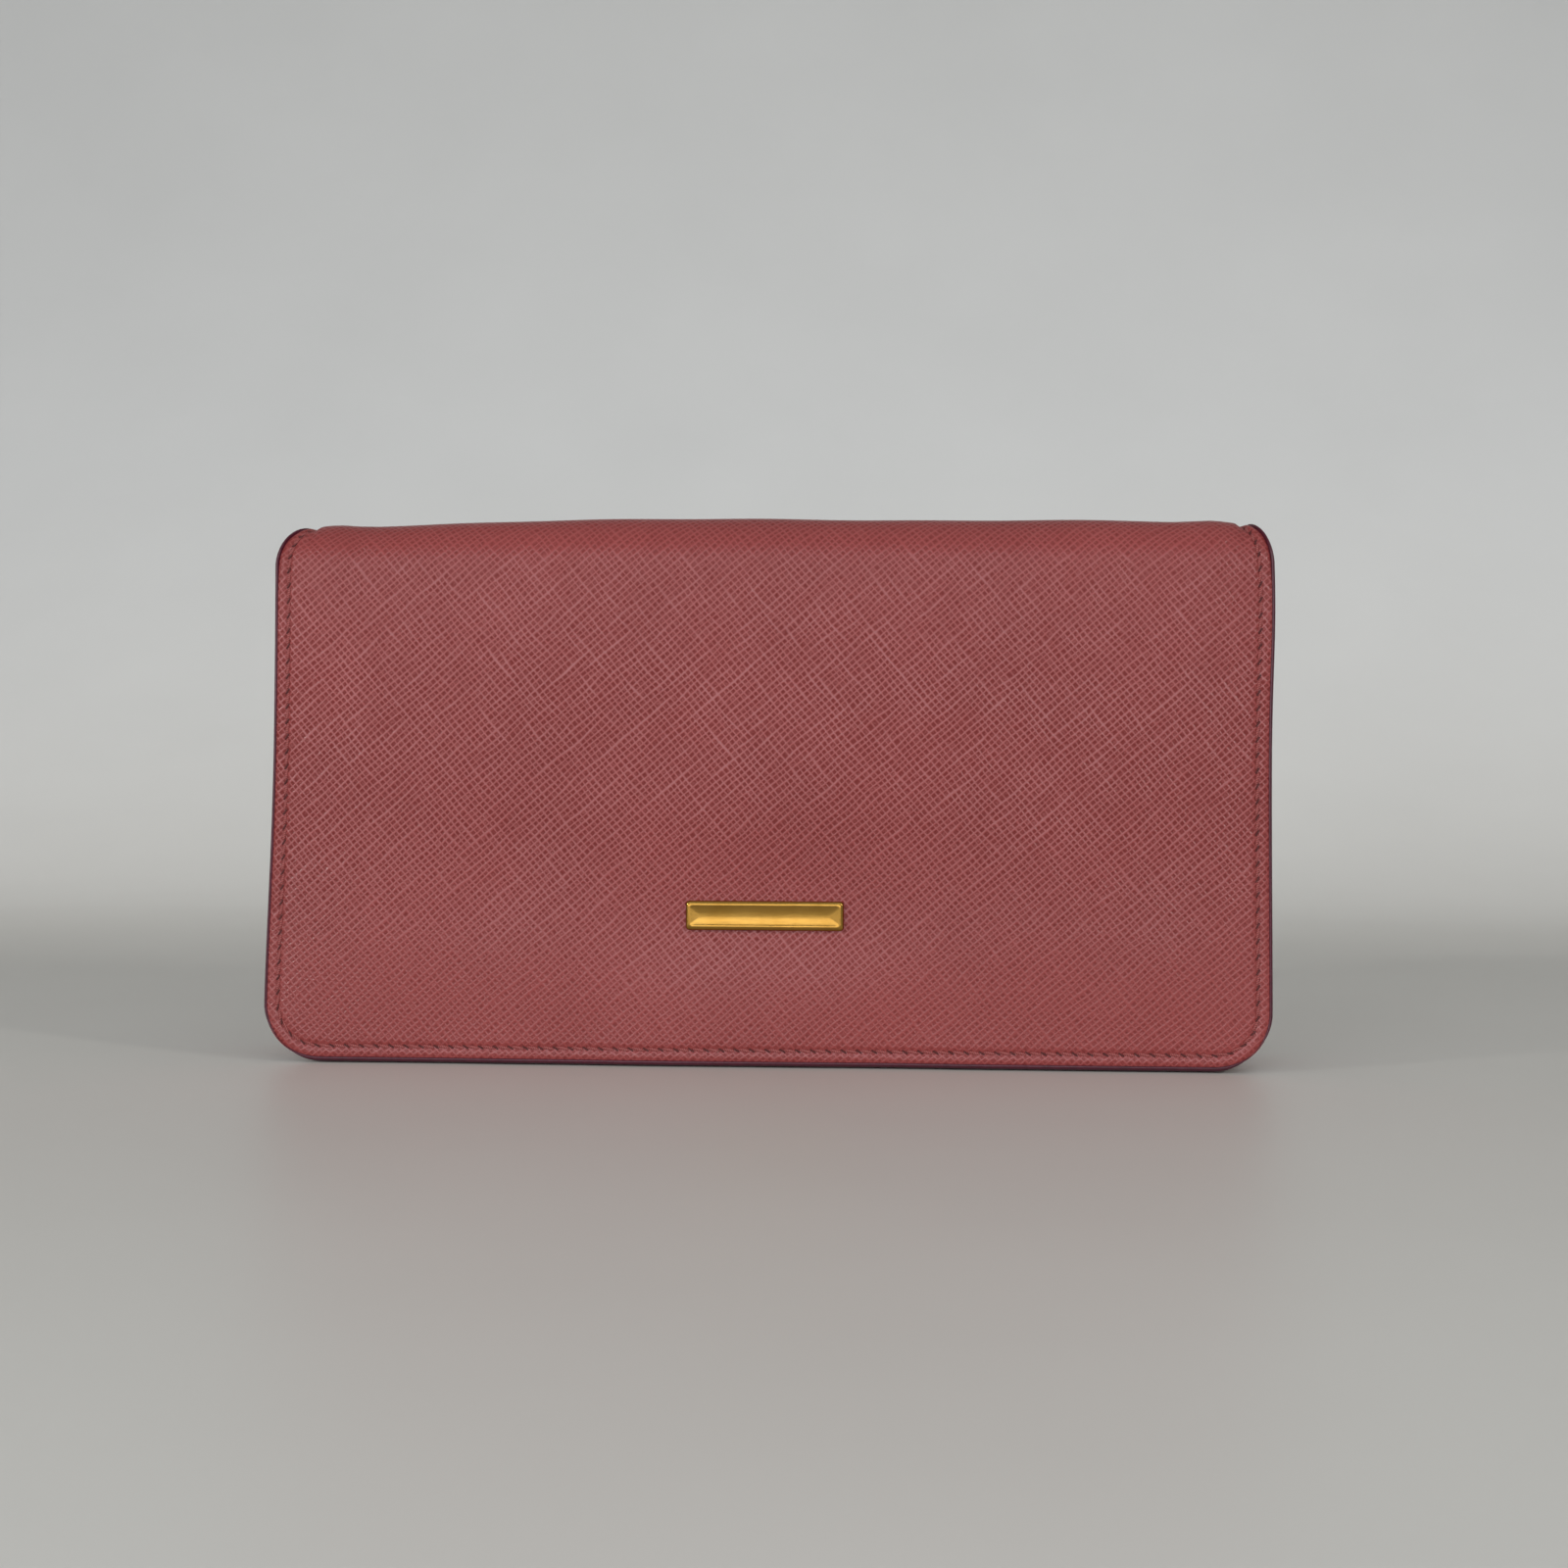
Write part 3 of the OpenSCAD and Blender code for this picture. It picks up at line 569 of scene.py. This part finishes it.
def edge_bead(name, sheet, t0, t1, bulge, low, body=None, start=0.0, closed=False):
    """Painted edge: an oval tube along the whole edge, as wide as the layers are thick.

    Across the tube, depth is the middle plus half the thickness times the cosine, and the reach
    is the bulge times the sine on one half, or half a millimetre times the sine on the other.
    Along the bottom the bulge gives way to low and its half is outside. At the sides its half is
    inside. The tube turns over between them, so it is flat half way round a bottom corner.
    """
    x, s, out_x, out_s = outline(sheet, 0.15 * MM, EDGE_STEP, start, closed)
    angle = np.linspace(0, 2 * math.pi, 14, endpoint=False)
    full = (bulge + (low - bulge) * np.clip(out_s, 0, 1))[:, None]
    reach = np.where(np.sin(angle)[None, :] > 0, full, 0.5 * MM) * np.sin(angle)[None, :]
    depth = (t0 + t1) / 2 - (t1 - t0) / 2 * np.cos(angle)
    px = x[:, None] - out_x[:, None] * reach
    ps = s[:, None] + out_s[:, None] * reach
    points = sheet.place(px, ps, depth[None, :], sunk=False)
    along = np.arange(len(x)) * EDGE_STEP
    uv = np.stack(np.broadcast_arrays(along[:, None], angle[None, :] * MM), axis=-1)
    if closed:
        faces = grid_faces(len(x), len(angle), wrap=True, loop=True)
    else:
        faces = tube_faces(len(x), len(angle))
    return finish_mesh(name, points, faces, uv, EDGE_PAINT, body)


def capsules(name, sheet, x, s, run_x, run_s, length, width, depth, rise, material, under=0.0):
    """Many short rounded bars on a sheet, one at each x, s along its own direction.

    Each bar is an ellipsoid stretched along its run: the place along is length/2 times
    sin(a), and across it is width/2 times cos(a)^0.6 times the circle, with depth downwards. With
    under given, the bars lie on the sheet's inner side, at that depth.
    """
    rings, sides = 7, 8
    a = np.linspace(-math.pi / 2, math.pi / 2, rings)
    b = np.linspace(0, 2 * math.pi, sides, endpoint=False)
    swell = np.maximum(np.cos(a), 0.02) ** 0.6
    along = (length / 2 * np.sin(a))[:, None] + 0 * b[None, :]
    across = width / 2 * swell[:, None] * np.cos(b)[None, :]
    up = depth * swell[:, None] * np.sin(b)[None, :]
    px = x[:, None, None] + run_x[:, None, None] * along - run_s[:, None, None] * across
    ps = s[:, None, None] + run_s[:, None, None] * along + run_x[:, None, None] * across
    points = sheet.place(px, ps, (under + up + rise if under else -up - rise)[None])
    faces = tube_faces(rings, sides)[None] + (np.arange(len(x)) * rings * sides)[:, None, None]
    uv = np.stack(np.broadcast_arrays(along, b[None, :] * 0.15 * MM), axis=-1)
    uv = np.broadcast_to(uv[None], (len(x), rings, sides, 2))
    return finish_mesh(name, points, faces, uv.copy(), material)


def fix_normals(piece):
    """Turn every face outwards."""
    work = bmesh.new()
    work.from_mesh(piece.data)
    bmesh.ops.recalc_face_normals(work, faces=work.faces)
    work.to_mesh(piece.data)
    work.free()


def leaned(run_x, run_s, degrees):
    """The direction run_x, run_s turned by an angle."""
    cos, sin = math.cos(math.radians(degrees)), math.sin(math.radians(degrees))
    return run_x * cos - run_s * sin, run_x * sin + run_s * cos


def stitches(name, sheet, x, s, next_x, next_s, bend, node=None, under=0.0):
    """Sunken threads from each x, s to the next, and at the start of each a slanted dark mark: painted
    shade for the needle hole.
    """
    gap = np.hypot(next_x - x, next_s - s)
    run_x, run_s = (next_x - x) / gap, (next_s - s) / gap
    thread_size = (2.35 * MM, 0.62 * MM, 0.22 * MM)
    hole_size = (1.35 * MM, 0.36 * MM, 0.16 * MM)
    threads = capsules(name + "_thread", sheet, (x + next_x) / 2, (s + next_s) / 2,
                       *leaned(run_x, run_s, 9), *thread_size, 0.02 * MM, THREAD, under)
    # Dark marks on the face at each needle hole: painted shade, not a hole cut in the leather.
    hole_shades = capsules(name + "_needle_hole_shade", sheet, x, s,
                     *leaned(run_x, run_s, 33), *hole_size, 0.04 * MM, HOLE_SHADE, under)
    for piece in (threads, hole_shades):
        bend(piece)
        fix_normals(piece)
    if node:
        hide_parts(node)


def seam(name, sheet, start, bend, node=None, under=0.0):
    """Saddle seam that runs inset from the sheet's edge, on its face and, if under, its inner side."""
    x, s, _, _ = outline(sheet, SEAM_INSET, STITCH, start)
    ends = x[:-1], s[:-1], x[1:], s[1:]
    stitches(name, sheet, *ends, bend, node)
    if under:
        stitches(name + "_inner", sheet, *ends, bend, under=under)


def straight_seams(name, sheet, runs, bend):
    """Seams along straight lines, each given as its first x, s and its last x, s."""
    parts = []
    for x0, s0, x1, s1 in runs:
        count = max(int(round(math.hypot(x1 - x0, s1 - s0) / STITCH)), 1)
        x, s = np.linspace(x0, x1, count + 1), np.linspace(s0, s1, count + 1)
        parts.append(np.array([x[:-1], s[:-1], x[1:], s[1:]]))
    stitches(name, sheet, *np.concatenate(parts, axis=1), bend)


# ---------------------------------------------------------------- outer leather

FRONT_ROLL = Roll(True, FLAP_LOW[2], (2.35 * MM, 0.55 * MM), (0.0, 0.6 * MM), seed=11)
REAR_ROLL = Roll(False, BACK_LOW[2] + FLOOR_GAP, (0.45 * MM, 0.45 * MM), (0.0, 0.0), seed=12)


def on_front(piece):
    """For pieces over the spine, the front fold and the flap: bakes the placement into the mesh, and
    attaches the piece to no body.
    """
    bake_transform(piece)


def on_rear(piece):
    """For pieces over the back, the rear fold and the spine: bakes the placement into the mesh, and
    attaches the piece to no body.
    """
    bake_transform(piece)


def outer_leather(prefix, roll, bend, low, nodes, lining_nodes, stitching):
    """Cover, lining, painted edge and seam of one half of the outer leather."""
    cover = slab(prefix + "_leather", roll, 0, COVER_T, ROSE)
    lining = slab(prefix + "_inner_leather", roll, COVER_T, SHELL_T, LINING, inset=LINING_INSET)
    paint = edge_bead(prefix + "_painted_edge", roll, -0.02 * MM, SHELL_T, 0.42 * MM, low)
    for piece, slot in ((cover, "rose_leather"), (lining, "lining_leather"), (paint, "rose_leather")):
        fix_normals(piece)
        bend(piece)
    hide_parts(*nodes)
    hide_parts(*lining_nodes)
    seam(prefix, roll, STITCH / 2, bend, stitching, SHELL_T)


outer_leather("flap", FRONT_ROLL, on_front, 0.76 * MM, ("flap_cover", "front_fold", "spine_cover"),
              ("flap_lining", "flap_board"), "flap_stitching")
outer_leather("back", REAR_ROLL, on_rear, 0.18 * MM, ("back_cover", "rear_fold"),
              ("back_lining", "back_board", "spine_board", "spine_lining"), "back_stitching")

# ---------------------------------------------------------------- front pocket


def on_pocket(piece):
    """Rides on the front pocket."""
    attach(piece, "front_pocket")


def front_pocket():
    """Cover, lining, closed painted edge and seam of the front pocket's panel."""
    sheet = Flat(FRONT_HIGH[0], FRONT_HIGH[2], FRONT_LOW[2] + FLOOR_GAP, FRONT_LOW[1],
                 CORNER_R - 1.5 * MM, SHELL_T, puff=0.3 * MM, dip=0.6 * MM)
    cover = slab("front_pocket_leather", sheet, 0, COVER_T, ROSE)
    lining = slab("front_pocket_lining", sheet, COVER_T, SHELL_T, LINING, inset=LINING_INSET)
    paint = edge_bead("front_pocket_painted_edge", sheet, -0.02 * MM, SHELL_T, 0.4 * MM, 0.18 * MM,
                      closed=True)
    for piece, slot in ((cover, "rose_leather"), (lining, "lining_leather"), (paint, "rose_leather")):
        fix_normals(piece)
        on_pocket(piece)
    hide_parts("front_panel")
    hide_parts("front_lining", "front_board")
    seam("front_pocket", sheet, 2 * MM, on_pocket, "front_stitching", SHELL_T)


front_pocket()

# ---------------------------------------------------------------- gussets


def gusset_strip():
    """One strip of leather up both sides and along the bottom, with two soft folds at each side.

    The strip runs down the left side, along the bottom and up the right, inset from the pockets'
    edge. Across it v runs from the front pocket to the back. The folds swell out at the sides by
    a raised cosine of two waves in v, which fades away towards the bottom. The leather's
    thickness goes outwards at the sides and upwards along the bottom.
    """
    low, high = box("base_gusset")
    top = box("left_gusset")[1][2]
    sheet = Flat(high[0], top, low[2] + FLOOR_GAP, 0, high[2], GUSSET_T)
    x, s, out_x, out_s = outline(sheet, 0, GUSSET_STEP)
    v = np.linspace(0, 1, 49)
    y = FRONT_IN[1] - 0.1 * MM + v * (BACK_Y - SHELL_T + 0.1 * MM - FRONT_IN[1])
    fold = 0.5 - 0.5 * np.cos(v * 4 * math.pi)
    grow = smooth(sheet.end - s, 4 * MM, 45 * MM)
    swell = GUSSET_FOLD * grow[:, None] * fold[None, :]
    rows = []
    for thick in (0.0, GUSSET_T):
        move = swell + thick
        px = x[:, None] + out_x[:, None] * move
        pz = top - (s[:, None] - out_s[:, None] * move)
        rows.append(np.stack(np.broadcast_arrays(px, y[None, :], pz), axis=-1))
    ring = np.concatenate([rows[0], rows[1][:, ::-1]], axis=1)
    along = np.arange(len(x)) * GUSSET_STEP
    uv = np.stack(np.broadcast_arrays(along[:, None], y[None, :]), axis=-1)
    uv = np.concatenate([uv, uv[:, ::-1]], axis=1)
    piece = finish_mesh("gusset_strip", ring, folded_faces(len(x), len(v)), uv, GUSSET_ROSE)
    fix_normals(piece)
    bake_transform(piece)
    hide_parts("base_gusset", "left_gusset", "right_gusset")


gusset_strip()

# ---------------------------------------------------------------- plate


def plate():
    """Plain metal bar: a superellipse outline that narrows in three steps towards its face."""
    low, high = PLATE_LOW, PLATE_HIGH
    half_w, half_h = (high[0] - low[0]) / 2, (high[2] - low[2]) / 2
    mid_z = (high[2] + low[2]) / 2
    thick = FACE_Y - low[1]
    angle = np.linspace(0, 2 * math.pi, 96, endpoint=False)
    radius = 0.7 * MM
    cx = np.sign(np.cos(angle)) * (half_w - radius) + radius * np.cos(angle)
    cz = np.sign(np.sin(angle)) * (half_h - radius) + radius * np.sin(angle)
    steps = ((0.0, -0.35), (0.0, 0.55), (0.12, 0.78), (0.35, 0.93), (0.7, 1.0), (1.0, 0.97),
             (1.25, 0.9), (half_h / MM * 0.98, 0.9))
    rings = []
    for inset, level in steps:
        inner = inset * MM
        rx = cx * (half_w - inner) / half_w
        rz = cz * (half_h - inner) / half_h
        rings.append(np.stack([rx, np.full_like(rx, FACE_Y - thick * level), mid_z + rz], axis=-1))
    points = np.array(rings)
    faces = tube_faces(len(steps), len(angle))
    piece = finish_mesh("plain_gold_bar", points, faces, points[..., [0, 2]], GOLD, "flap")
    fix_normals(piece)
    bevel = piece.modifiers.new("soft_edges", "BEVEL")
    bevel.width = 0.08 * MM
    bevel.segments = 2
    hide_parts("front_plate")


plate()

# ---------------------------------------------------------------- card pockets


def on_back(piece):
    """Rides on the back."""
    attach(piece, "back")


def card_pockets():
    """Backing and four stepped pockets, each with a hemmed mouth, a mouth seam and a middle seam."""
    names = ("card_backing", "card_pocket_1", "card_pocket_2", "card_pocket_3", "card_pocket_4")
    tops = [box(name)[1][2] for name in names]
    for number, name in enumerate(names):
        low, high = box(name)
        thick = high[1] - low[1]
        sheet = Flat(high[0], high[2], low[2], low[1], 2 * MM, thick, groove=0.0,
                     dip=0.5 * MM, hem=0.1 * MM)
        piece = slab(name + "_leather", sheet, 0, thick * 0.96, LINING, "back")
        fix_normals(piece)
        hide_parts(name)
        below = tops[number + 1] if number + 1 < len(names) else low[2] + 2 * MM
        side = high[0] - SEAM_INSET
        last = high[2] - below - 0.6 * MM
        runs = [(-side, 2 * MM, side, 2 * MM)]
        if number > 0:
            runs += [(x, 3.4 * MM, x, last) for x in (-side, 0.0, side)]
        straight_seams(name, sheet, runs, on_back)


card_pockets()

# ---------------------------------------------------------------- coin pocket


def on_coin(piece):
    """Rides on the coin pocket."""
    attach(piece, "coin_pocket")


def coin_bag():
    """The zipped pocket as one soft bag of thin leather, open at the zip.

    Each level of the bag is a rectangle with round corners. Going down, its half depth swells by a
    sine of the height, and at the bottom it closes with a quarter circle's cosine. The inner
    surface is the same shape drawn in by the wall's thickness.
    """
    mid_y = (COIN_LOW[1] + COIN_HIGH[1]) / 2
    half_y = (COIN_HIGH[1] - COIN_LOW[1]) / 2
    quarter = np.linspace(0, math.pi / 2, 8)
    long_run, short_run = np.linspace(1, -1, 60)[1:-1], np.linspace(1, -1, 4)[1:-1]
    corners = ((1, 1), (-1, 1), (-1, -1), (1, -1))
    centre_x, centre_y, angle = [], [], []
    for number, (sx, sy) in enumerate(corners):
        turn = quarter + number * math.pi / 2
        run = (long_run, short_run, -long_run, -short_run)[number]
        flat = np.full(len(run), turn[-1])
        angle += [turn, flat]
        centre_x += [np.full(8, sx), run if number % 2 == 0 else np.full(len(run), sx)]
        centre_y += [np.full(8, sy), np.full(len(run), sy) if number % 2 == 0 else run]
    angle, centre_x, centre_y = (np.concatenate(v) for v in (angle, centre_x, centre_y))
    rows = []
    for wall in (COIN_WALL, 0.0):
        floor = COIN_LOW[2] + wall
        deep = half_y - wall
        tall = COIN_HIGH[2] - floor
        phi = np.linspace(math.pi / 2, 0, 12)
        up = np.linspace(0, 1, 26)[1:]
        z = np.concatenate([floor + deep * (1 - np.sin(phi)), floor + deep + up * (tall - deep)])
        closing = np.concatenate([np.maximum(np.cos(phi), 0.004), np.ones(len(up))])
        swell = 0.8 * MM * np.sin(math.pi * np.clip((z - floor) / tall, 0, 1))
        half_x = COIN_HIGH[0] - wall - 1.5 * MM * (1 - closing)
        spread = (1 - centre_x ** 2)[None, :]
        depth = deep * closing[:, None] + swell[:, None] * spread * closing[:, None]
        corner = np.minimum(1.8 * MM, deep * closing)[:, None]
        x = centre_x[None, :] * (half_x[:, None] - corner) + corner * np.cos(angle)[None, :]
        y = mid_y + centre_y[None, :] * (depth - corner) + corner * np.sin(angle)[None, :]
        level = np.stack([x, y, np.broadcast_to(z[:, None], x.shape)], axis=-1)
        rows.append(level if wall else level[::-1])
    points = np.concatenate(rows)
    count, ring = points.shape[:2]
    faces = tube_faces(count, ring)
    piece = finish_mesh("coin_bag", points, faces, points[..., [0, 2]], LINING, "coin_pocket")
    fix_normals(piece)
    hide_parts("coin_wall_front", "coin_wall_back", "coin_sides", "coin_base")
    for label, y, out in (("front", COIN_LOW[1], -1), ("rear", COIN_HIGH[1], 1)):
        wall = Flat(COIN_HIGH[0], COIN_HIGH[2], COIN_LOW[2], y, 2 * MM, COIN_WALL, groove=0.0, out=out)
        side = COIN_HIGH[0] - SEAM_INSET
        straight_seams("coin_" + label, wall, [(-side, 1.8 * MM, side, 1.8 * MM)], on_coin)


def signed_power(value, power):
    """The value's size to a power, with its sign kept."""
    return np.sign(value) * np.abs(value) ** power


def rounded_bar(name, low, high, material, body, power=4.0, wave=0.0):
    """Bar along X whose section is a superellipse of the given power, with a slow sag and lift."""
    x = np.linspace(low[0], high[0], 120)
    angle = np.linspace(0, 2 * math.pi, 20, endpoint=False)
    cos, sin = np.cos(angle), np.sin(angle)
    half_y, half_z = (high[1] - low[1]) / 2, (high[2] - low[2]) / 2
    y = (high[1] + low[1]) / 2 + half_y * signed_power(cos, 2 / power)
    z = (high[2] + low[2]) / 2 + half_z * signed_power(sin, 2 / power)
    lift = wave * np.sin(x * 2 * math.pi / (23 * MM)) + wave * np.sin(x * 2 * math.pi / (61 * MM))
    points = np.stack(np.broadcast_arrays(x[:, None], y[None, :], z[None, :] + lift[:, None]), axis=-1)
    faces = tube_faces(len(x), len(angle))
    piece = finish_mesh(name, points, faces, points[..., :2], material, body)
    fix_normals(piece)
    return piece


def zip_tapes():
    """Two woven tapes, each with a corded bead along its inner edge for the teeth to grip."""
    for label in ("front", "back"):
        low, high = box("zip_tape_" + label)
        tape = rounded_bar("zip_tape_ribbon_" + label, low, high, TAPE, "coin_pocket", wave=0.04 * MM)
        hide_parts("zip_tape_" + label)
        inner_y = high[1] if label == "front" else low[1]
        bead_low = np.array([low[0], inner_y - 0.3 * MM, low[2] - 0.1 * MM])
        bead_high = np.array([high[0], inner_y + 0.3 * MM, high[2] + 0.15 * MM])
        bead = rounded_bar("zip_tape_bead_" + label, bead_low, bead_high, TAPE, "coin_pocket",
                           power=2.0)


coin_bag()
zip_tapes()

# ---------------------------------------------------------------- ring tab


def ring_tab():
    """Leather loop from the back's lining round the ring's straight side and back.

    A path in y and z goes down from the lining, forwards and round the ring's wire, and up again.
    The strap's section is a flat superellipse across the path.
    """
    low, high = box("ring_tab")
    wire = 0.85 * MM
    leather = 0.9 * MM
    radius = wire + leather / 2
    centre_y, centre_z = low[1] + radius + leather / 2, low[2] + radius + leather / 2
    rear = high[1] - leather / 2
    turn = np.radians(np.linspace(75, 300, 26))
    loop_y = centre_y + radius * np.cos(turn)
    loop_z = centre_z + radius * np.sin(turn)
    path_y = np.concatenate([[rear - leather, rear - leather, rear - 1.6 * leather], loop_y,
                             [rear - 0.7 * leather, rear, rear]])
    path_z = np.concatenate([[high[2], centre_z + 3.2 * MM, centre_z + 1.9 * MM], loop_z,
                             [centre_z - 0.4 * MM, centre_z + 1.2 * MM, high[2]]])
    gone = np.concatenate([[0], np.cumsum(np.hypot(np.diff(path_y), np.diff(path_z)))])
    even = np.linspace(0, gone[-1], 90)
    y, z = np.interp(even, gone, path_y), np.interp(even, gone, path_z)
    soft = np.array([1, 3, 5, 3, 1]) / 13
    y[2:-2], z[2:-2] = np.convolve(y, soft, "valid"), np.convolve(z, soft, "valid")
    run_y, run_z = np.gradient(y), np.gradient(z)
    length = np.hypot(run_y, run_z)
    angle = np.linspace(0, 2 * math.pi, 28, endpoint=False)
    wide = (high[0] - low[0]) / 2 * signed_power(np.cos(angle), 0.25)
    deep = leather / 2 * signed_power(np.sin(angle), 0.6)
    px = (high[0] + low[0]) / 2 + wide[None, :] + 0 * y[:, None]
    py = y[:, None] - (run_z / length)[:, None] * deep[None, :]
    pz = z[:, None] + (run_y / length)[:, None] * deep[None, :]
    points = np.stack([px, py, pz], axis=-1)
    faces = tube_faces(len(y), len(angle))
    uv = np.stack(np.broadcast_arrays(even[:, None], wide[None, :]), axis=-1)
    piece = finish_mesh("ring_tab_strap", points, faces, uv, GUSSET_ROSE, "back")
    fix_normals(piece)
    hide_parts("ring_tab")


ring_tab()

# ---------------------------------------------------------------- CAD pieces that stay

METAL_NODES = ("plate_washers", "snap_cap", "snap_socket", "snap_stud", "snap_rivet",
               "zip_teeth_front", "zip_teeth_back", "zip_stops", "slider_body", "puller", "d_ring")
for name in METAL_NODES:
    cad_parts[name].data.materials.clear()
    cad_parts[name].data.materials.append(GOLD)

# ---------------------------------------------------------------- stage


def backdrop():
    """Pale paper sweep: flat floor, a quarter circle, then a wall, carried across in X."""
    bend, rear, front, tall, half_w = 0.65, 0.4, -2.0, 3.0, 3.0
    turn = np.linspace(0, math.pi / 2, 24)
    y = np.concatenate([[front, -0.3], rear + bend * np.sin(turn), [rear + bend]])
    z = np.concatenate([[0.0, 0.0], bend - bend * np.cos(turn), [tall]])
    x = np.linspace(-half_w, half_w, 9)
    points = np.stack(np.broadcast_arrays(x[None, :], y[:, None], z[:, None]), axis=-1)
    material, tree, shader = new_material("pale_paper")
    where = add(tree, "TexCoord").outputs["Object"]
    mottle = add(tree, "TexNoise", {"Vector": where, "Scale": 9.0, "Detail": 5.0})
    depth = add(tree, "SeparateXYZ", {0: where}).outputs[1]
    wall = add(tree, "MapRange", {0: depth, 1: 0.3, 2: 0.9, 3: 0.0, 4: 1.0})
    light = blend_colours(tree, wall.outputs[0], colour("#D3D1CA"), colour("#D0D1CF"))
    dark = blend_colours(tree, wall.outputs[0], colour("#CAC8C1"), colour("#C8C9C7"))
    tint = blend_colours(tree, mottle.outputs[0], light, dark)
    tree.links.new(tint, shader.inputs["Base Color"])
    shader.inputs["Roughness"].default_value = 0.45
    uv = points[..., :2]
    floor = finish_mesh("paper_sweep", points, grid_faces(len(y), len(x)), uv, material)
    fix_normals(floor)


def area_light(name, place, aim, size, power, tint="#FFFFFF"):
    """Soft box of the given size, turned to face aim."""
    lamp = bpy.data.lights.new(name, "AREA")
    lamp.shape = "RECTANGLE"
    lamp.size, lamp.size_y = size
    lamp.energy = power
    lamp.color = colour(tint)[:3]
    thing = bpy.data.objects.new(name, lamp)
    way = np.array(aim) - np.array(place)
    thing.location = place
    thing.rotation_euler = Vector(way).to_track_quat("-Z", "Y").to_euler()
    bpy.context.scene.collection.objects.link(thing)


backdrop()
area_light("overhead_soft_box", (0.1, -0.3, 1.6), (0, -0.2, 0), (1.6, 1.2), 2.0, "#FFFDFA")
area_light("front_soft_box", (-0.25, -1.2, 0.14), (0, 0.1, 0.07), (1.8, 0.45), 6.9, "#FBFBFF")
area_light("wall_wash", (-0.3, 0.4, 0.42), (-0.35, 1.1, 0.05), (2.6, 0.2), 3.6, "#FDFDFF")
area_light("floor_wash", (0.0, -0.55, 0.33), (0, -0.48, 0), (0.9, 0.2), 1.05, "#EEF5FF")
area_light("left_small_box", (-0.9, -0.62, 0.4), (-0.09, 0, 0.08), (0.05, 0.05), 2.0, "#FFFDFA")
area_light("right_small_box", (0.85, -0.6, 0.5), (0.09, 0, 0.09), (0.05, 0.05), 2.0, "#FFFDFA")

world = bpy.data.worlds.new("soft_room")
world.use_nodes = True
world.node_tree.nodes["Background"].inputs[0].default_value = colour("#E4E6E8")
world.node_tree.nodes["Background"].inputs[1].default_value = 0.35
bpy.context.scene.world = world
bpy.context.scene.view_settings.view_transform = "Standard"

camera = bpy.data.cameras.new("camera")
camera.lens = 52.07
camera.sensor_width = 36.0
viewer = bpy.data.objects.new("camera", camera)
viewer.location = (0.03402, -0.44173, 0.06174)
viewer.rotation_euler = (math.radians(90 - 1.036), math.radians(-0.125), math.radians(4.067))
bpy.context.scene.collection.objects.link(viewer)
bpy.context.scene.camera = viewer
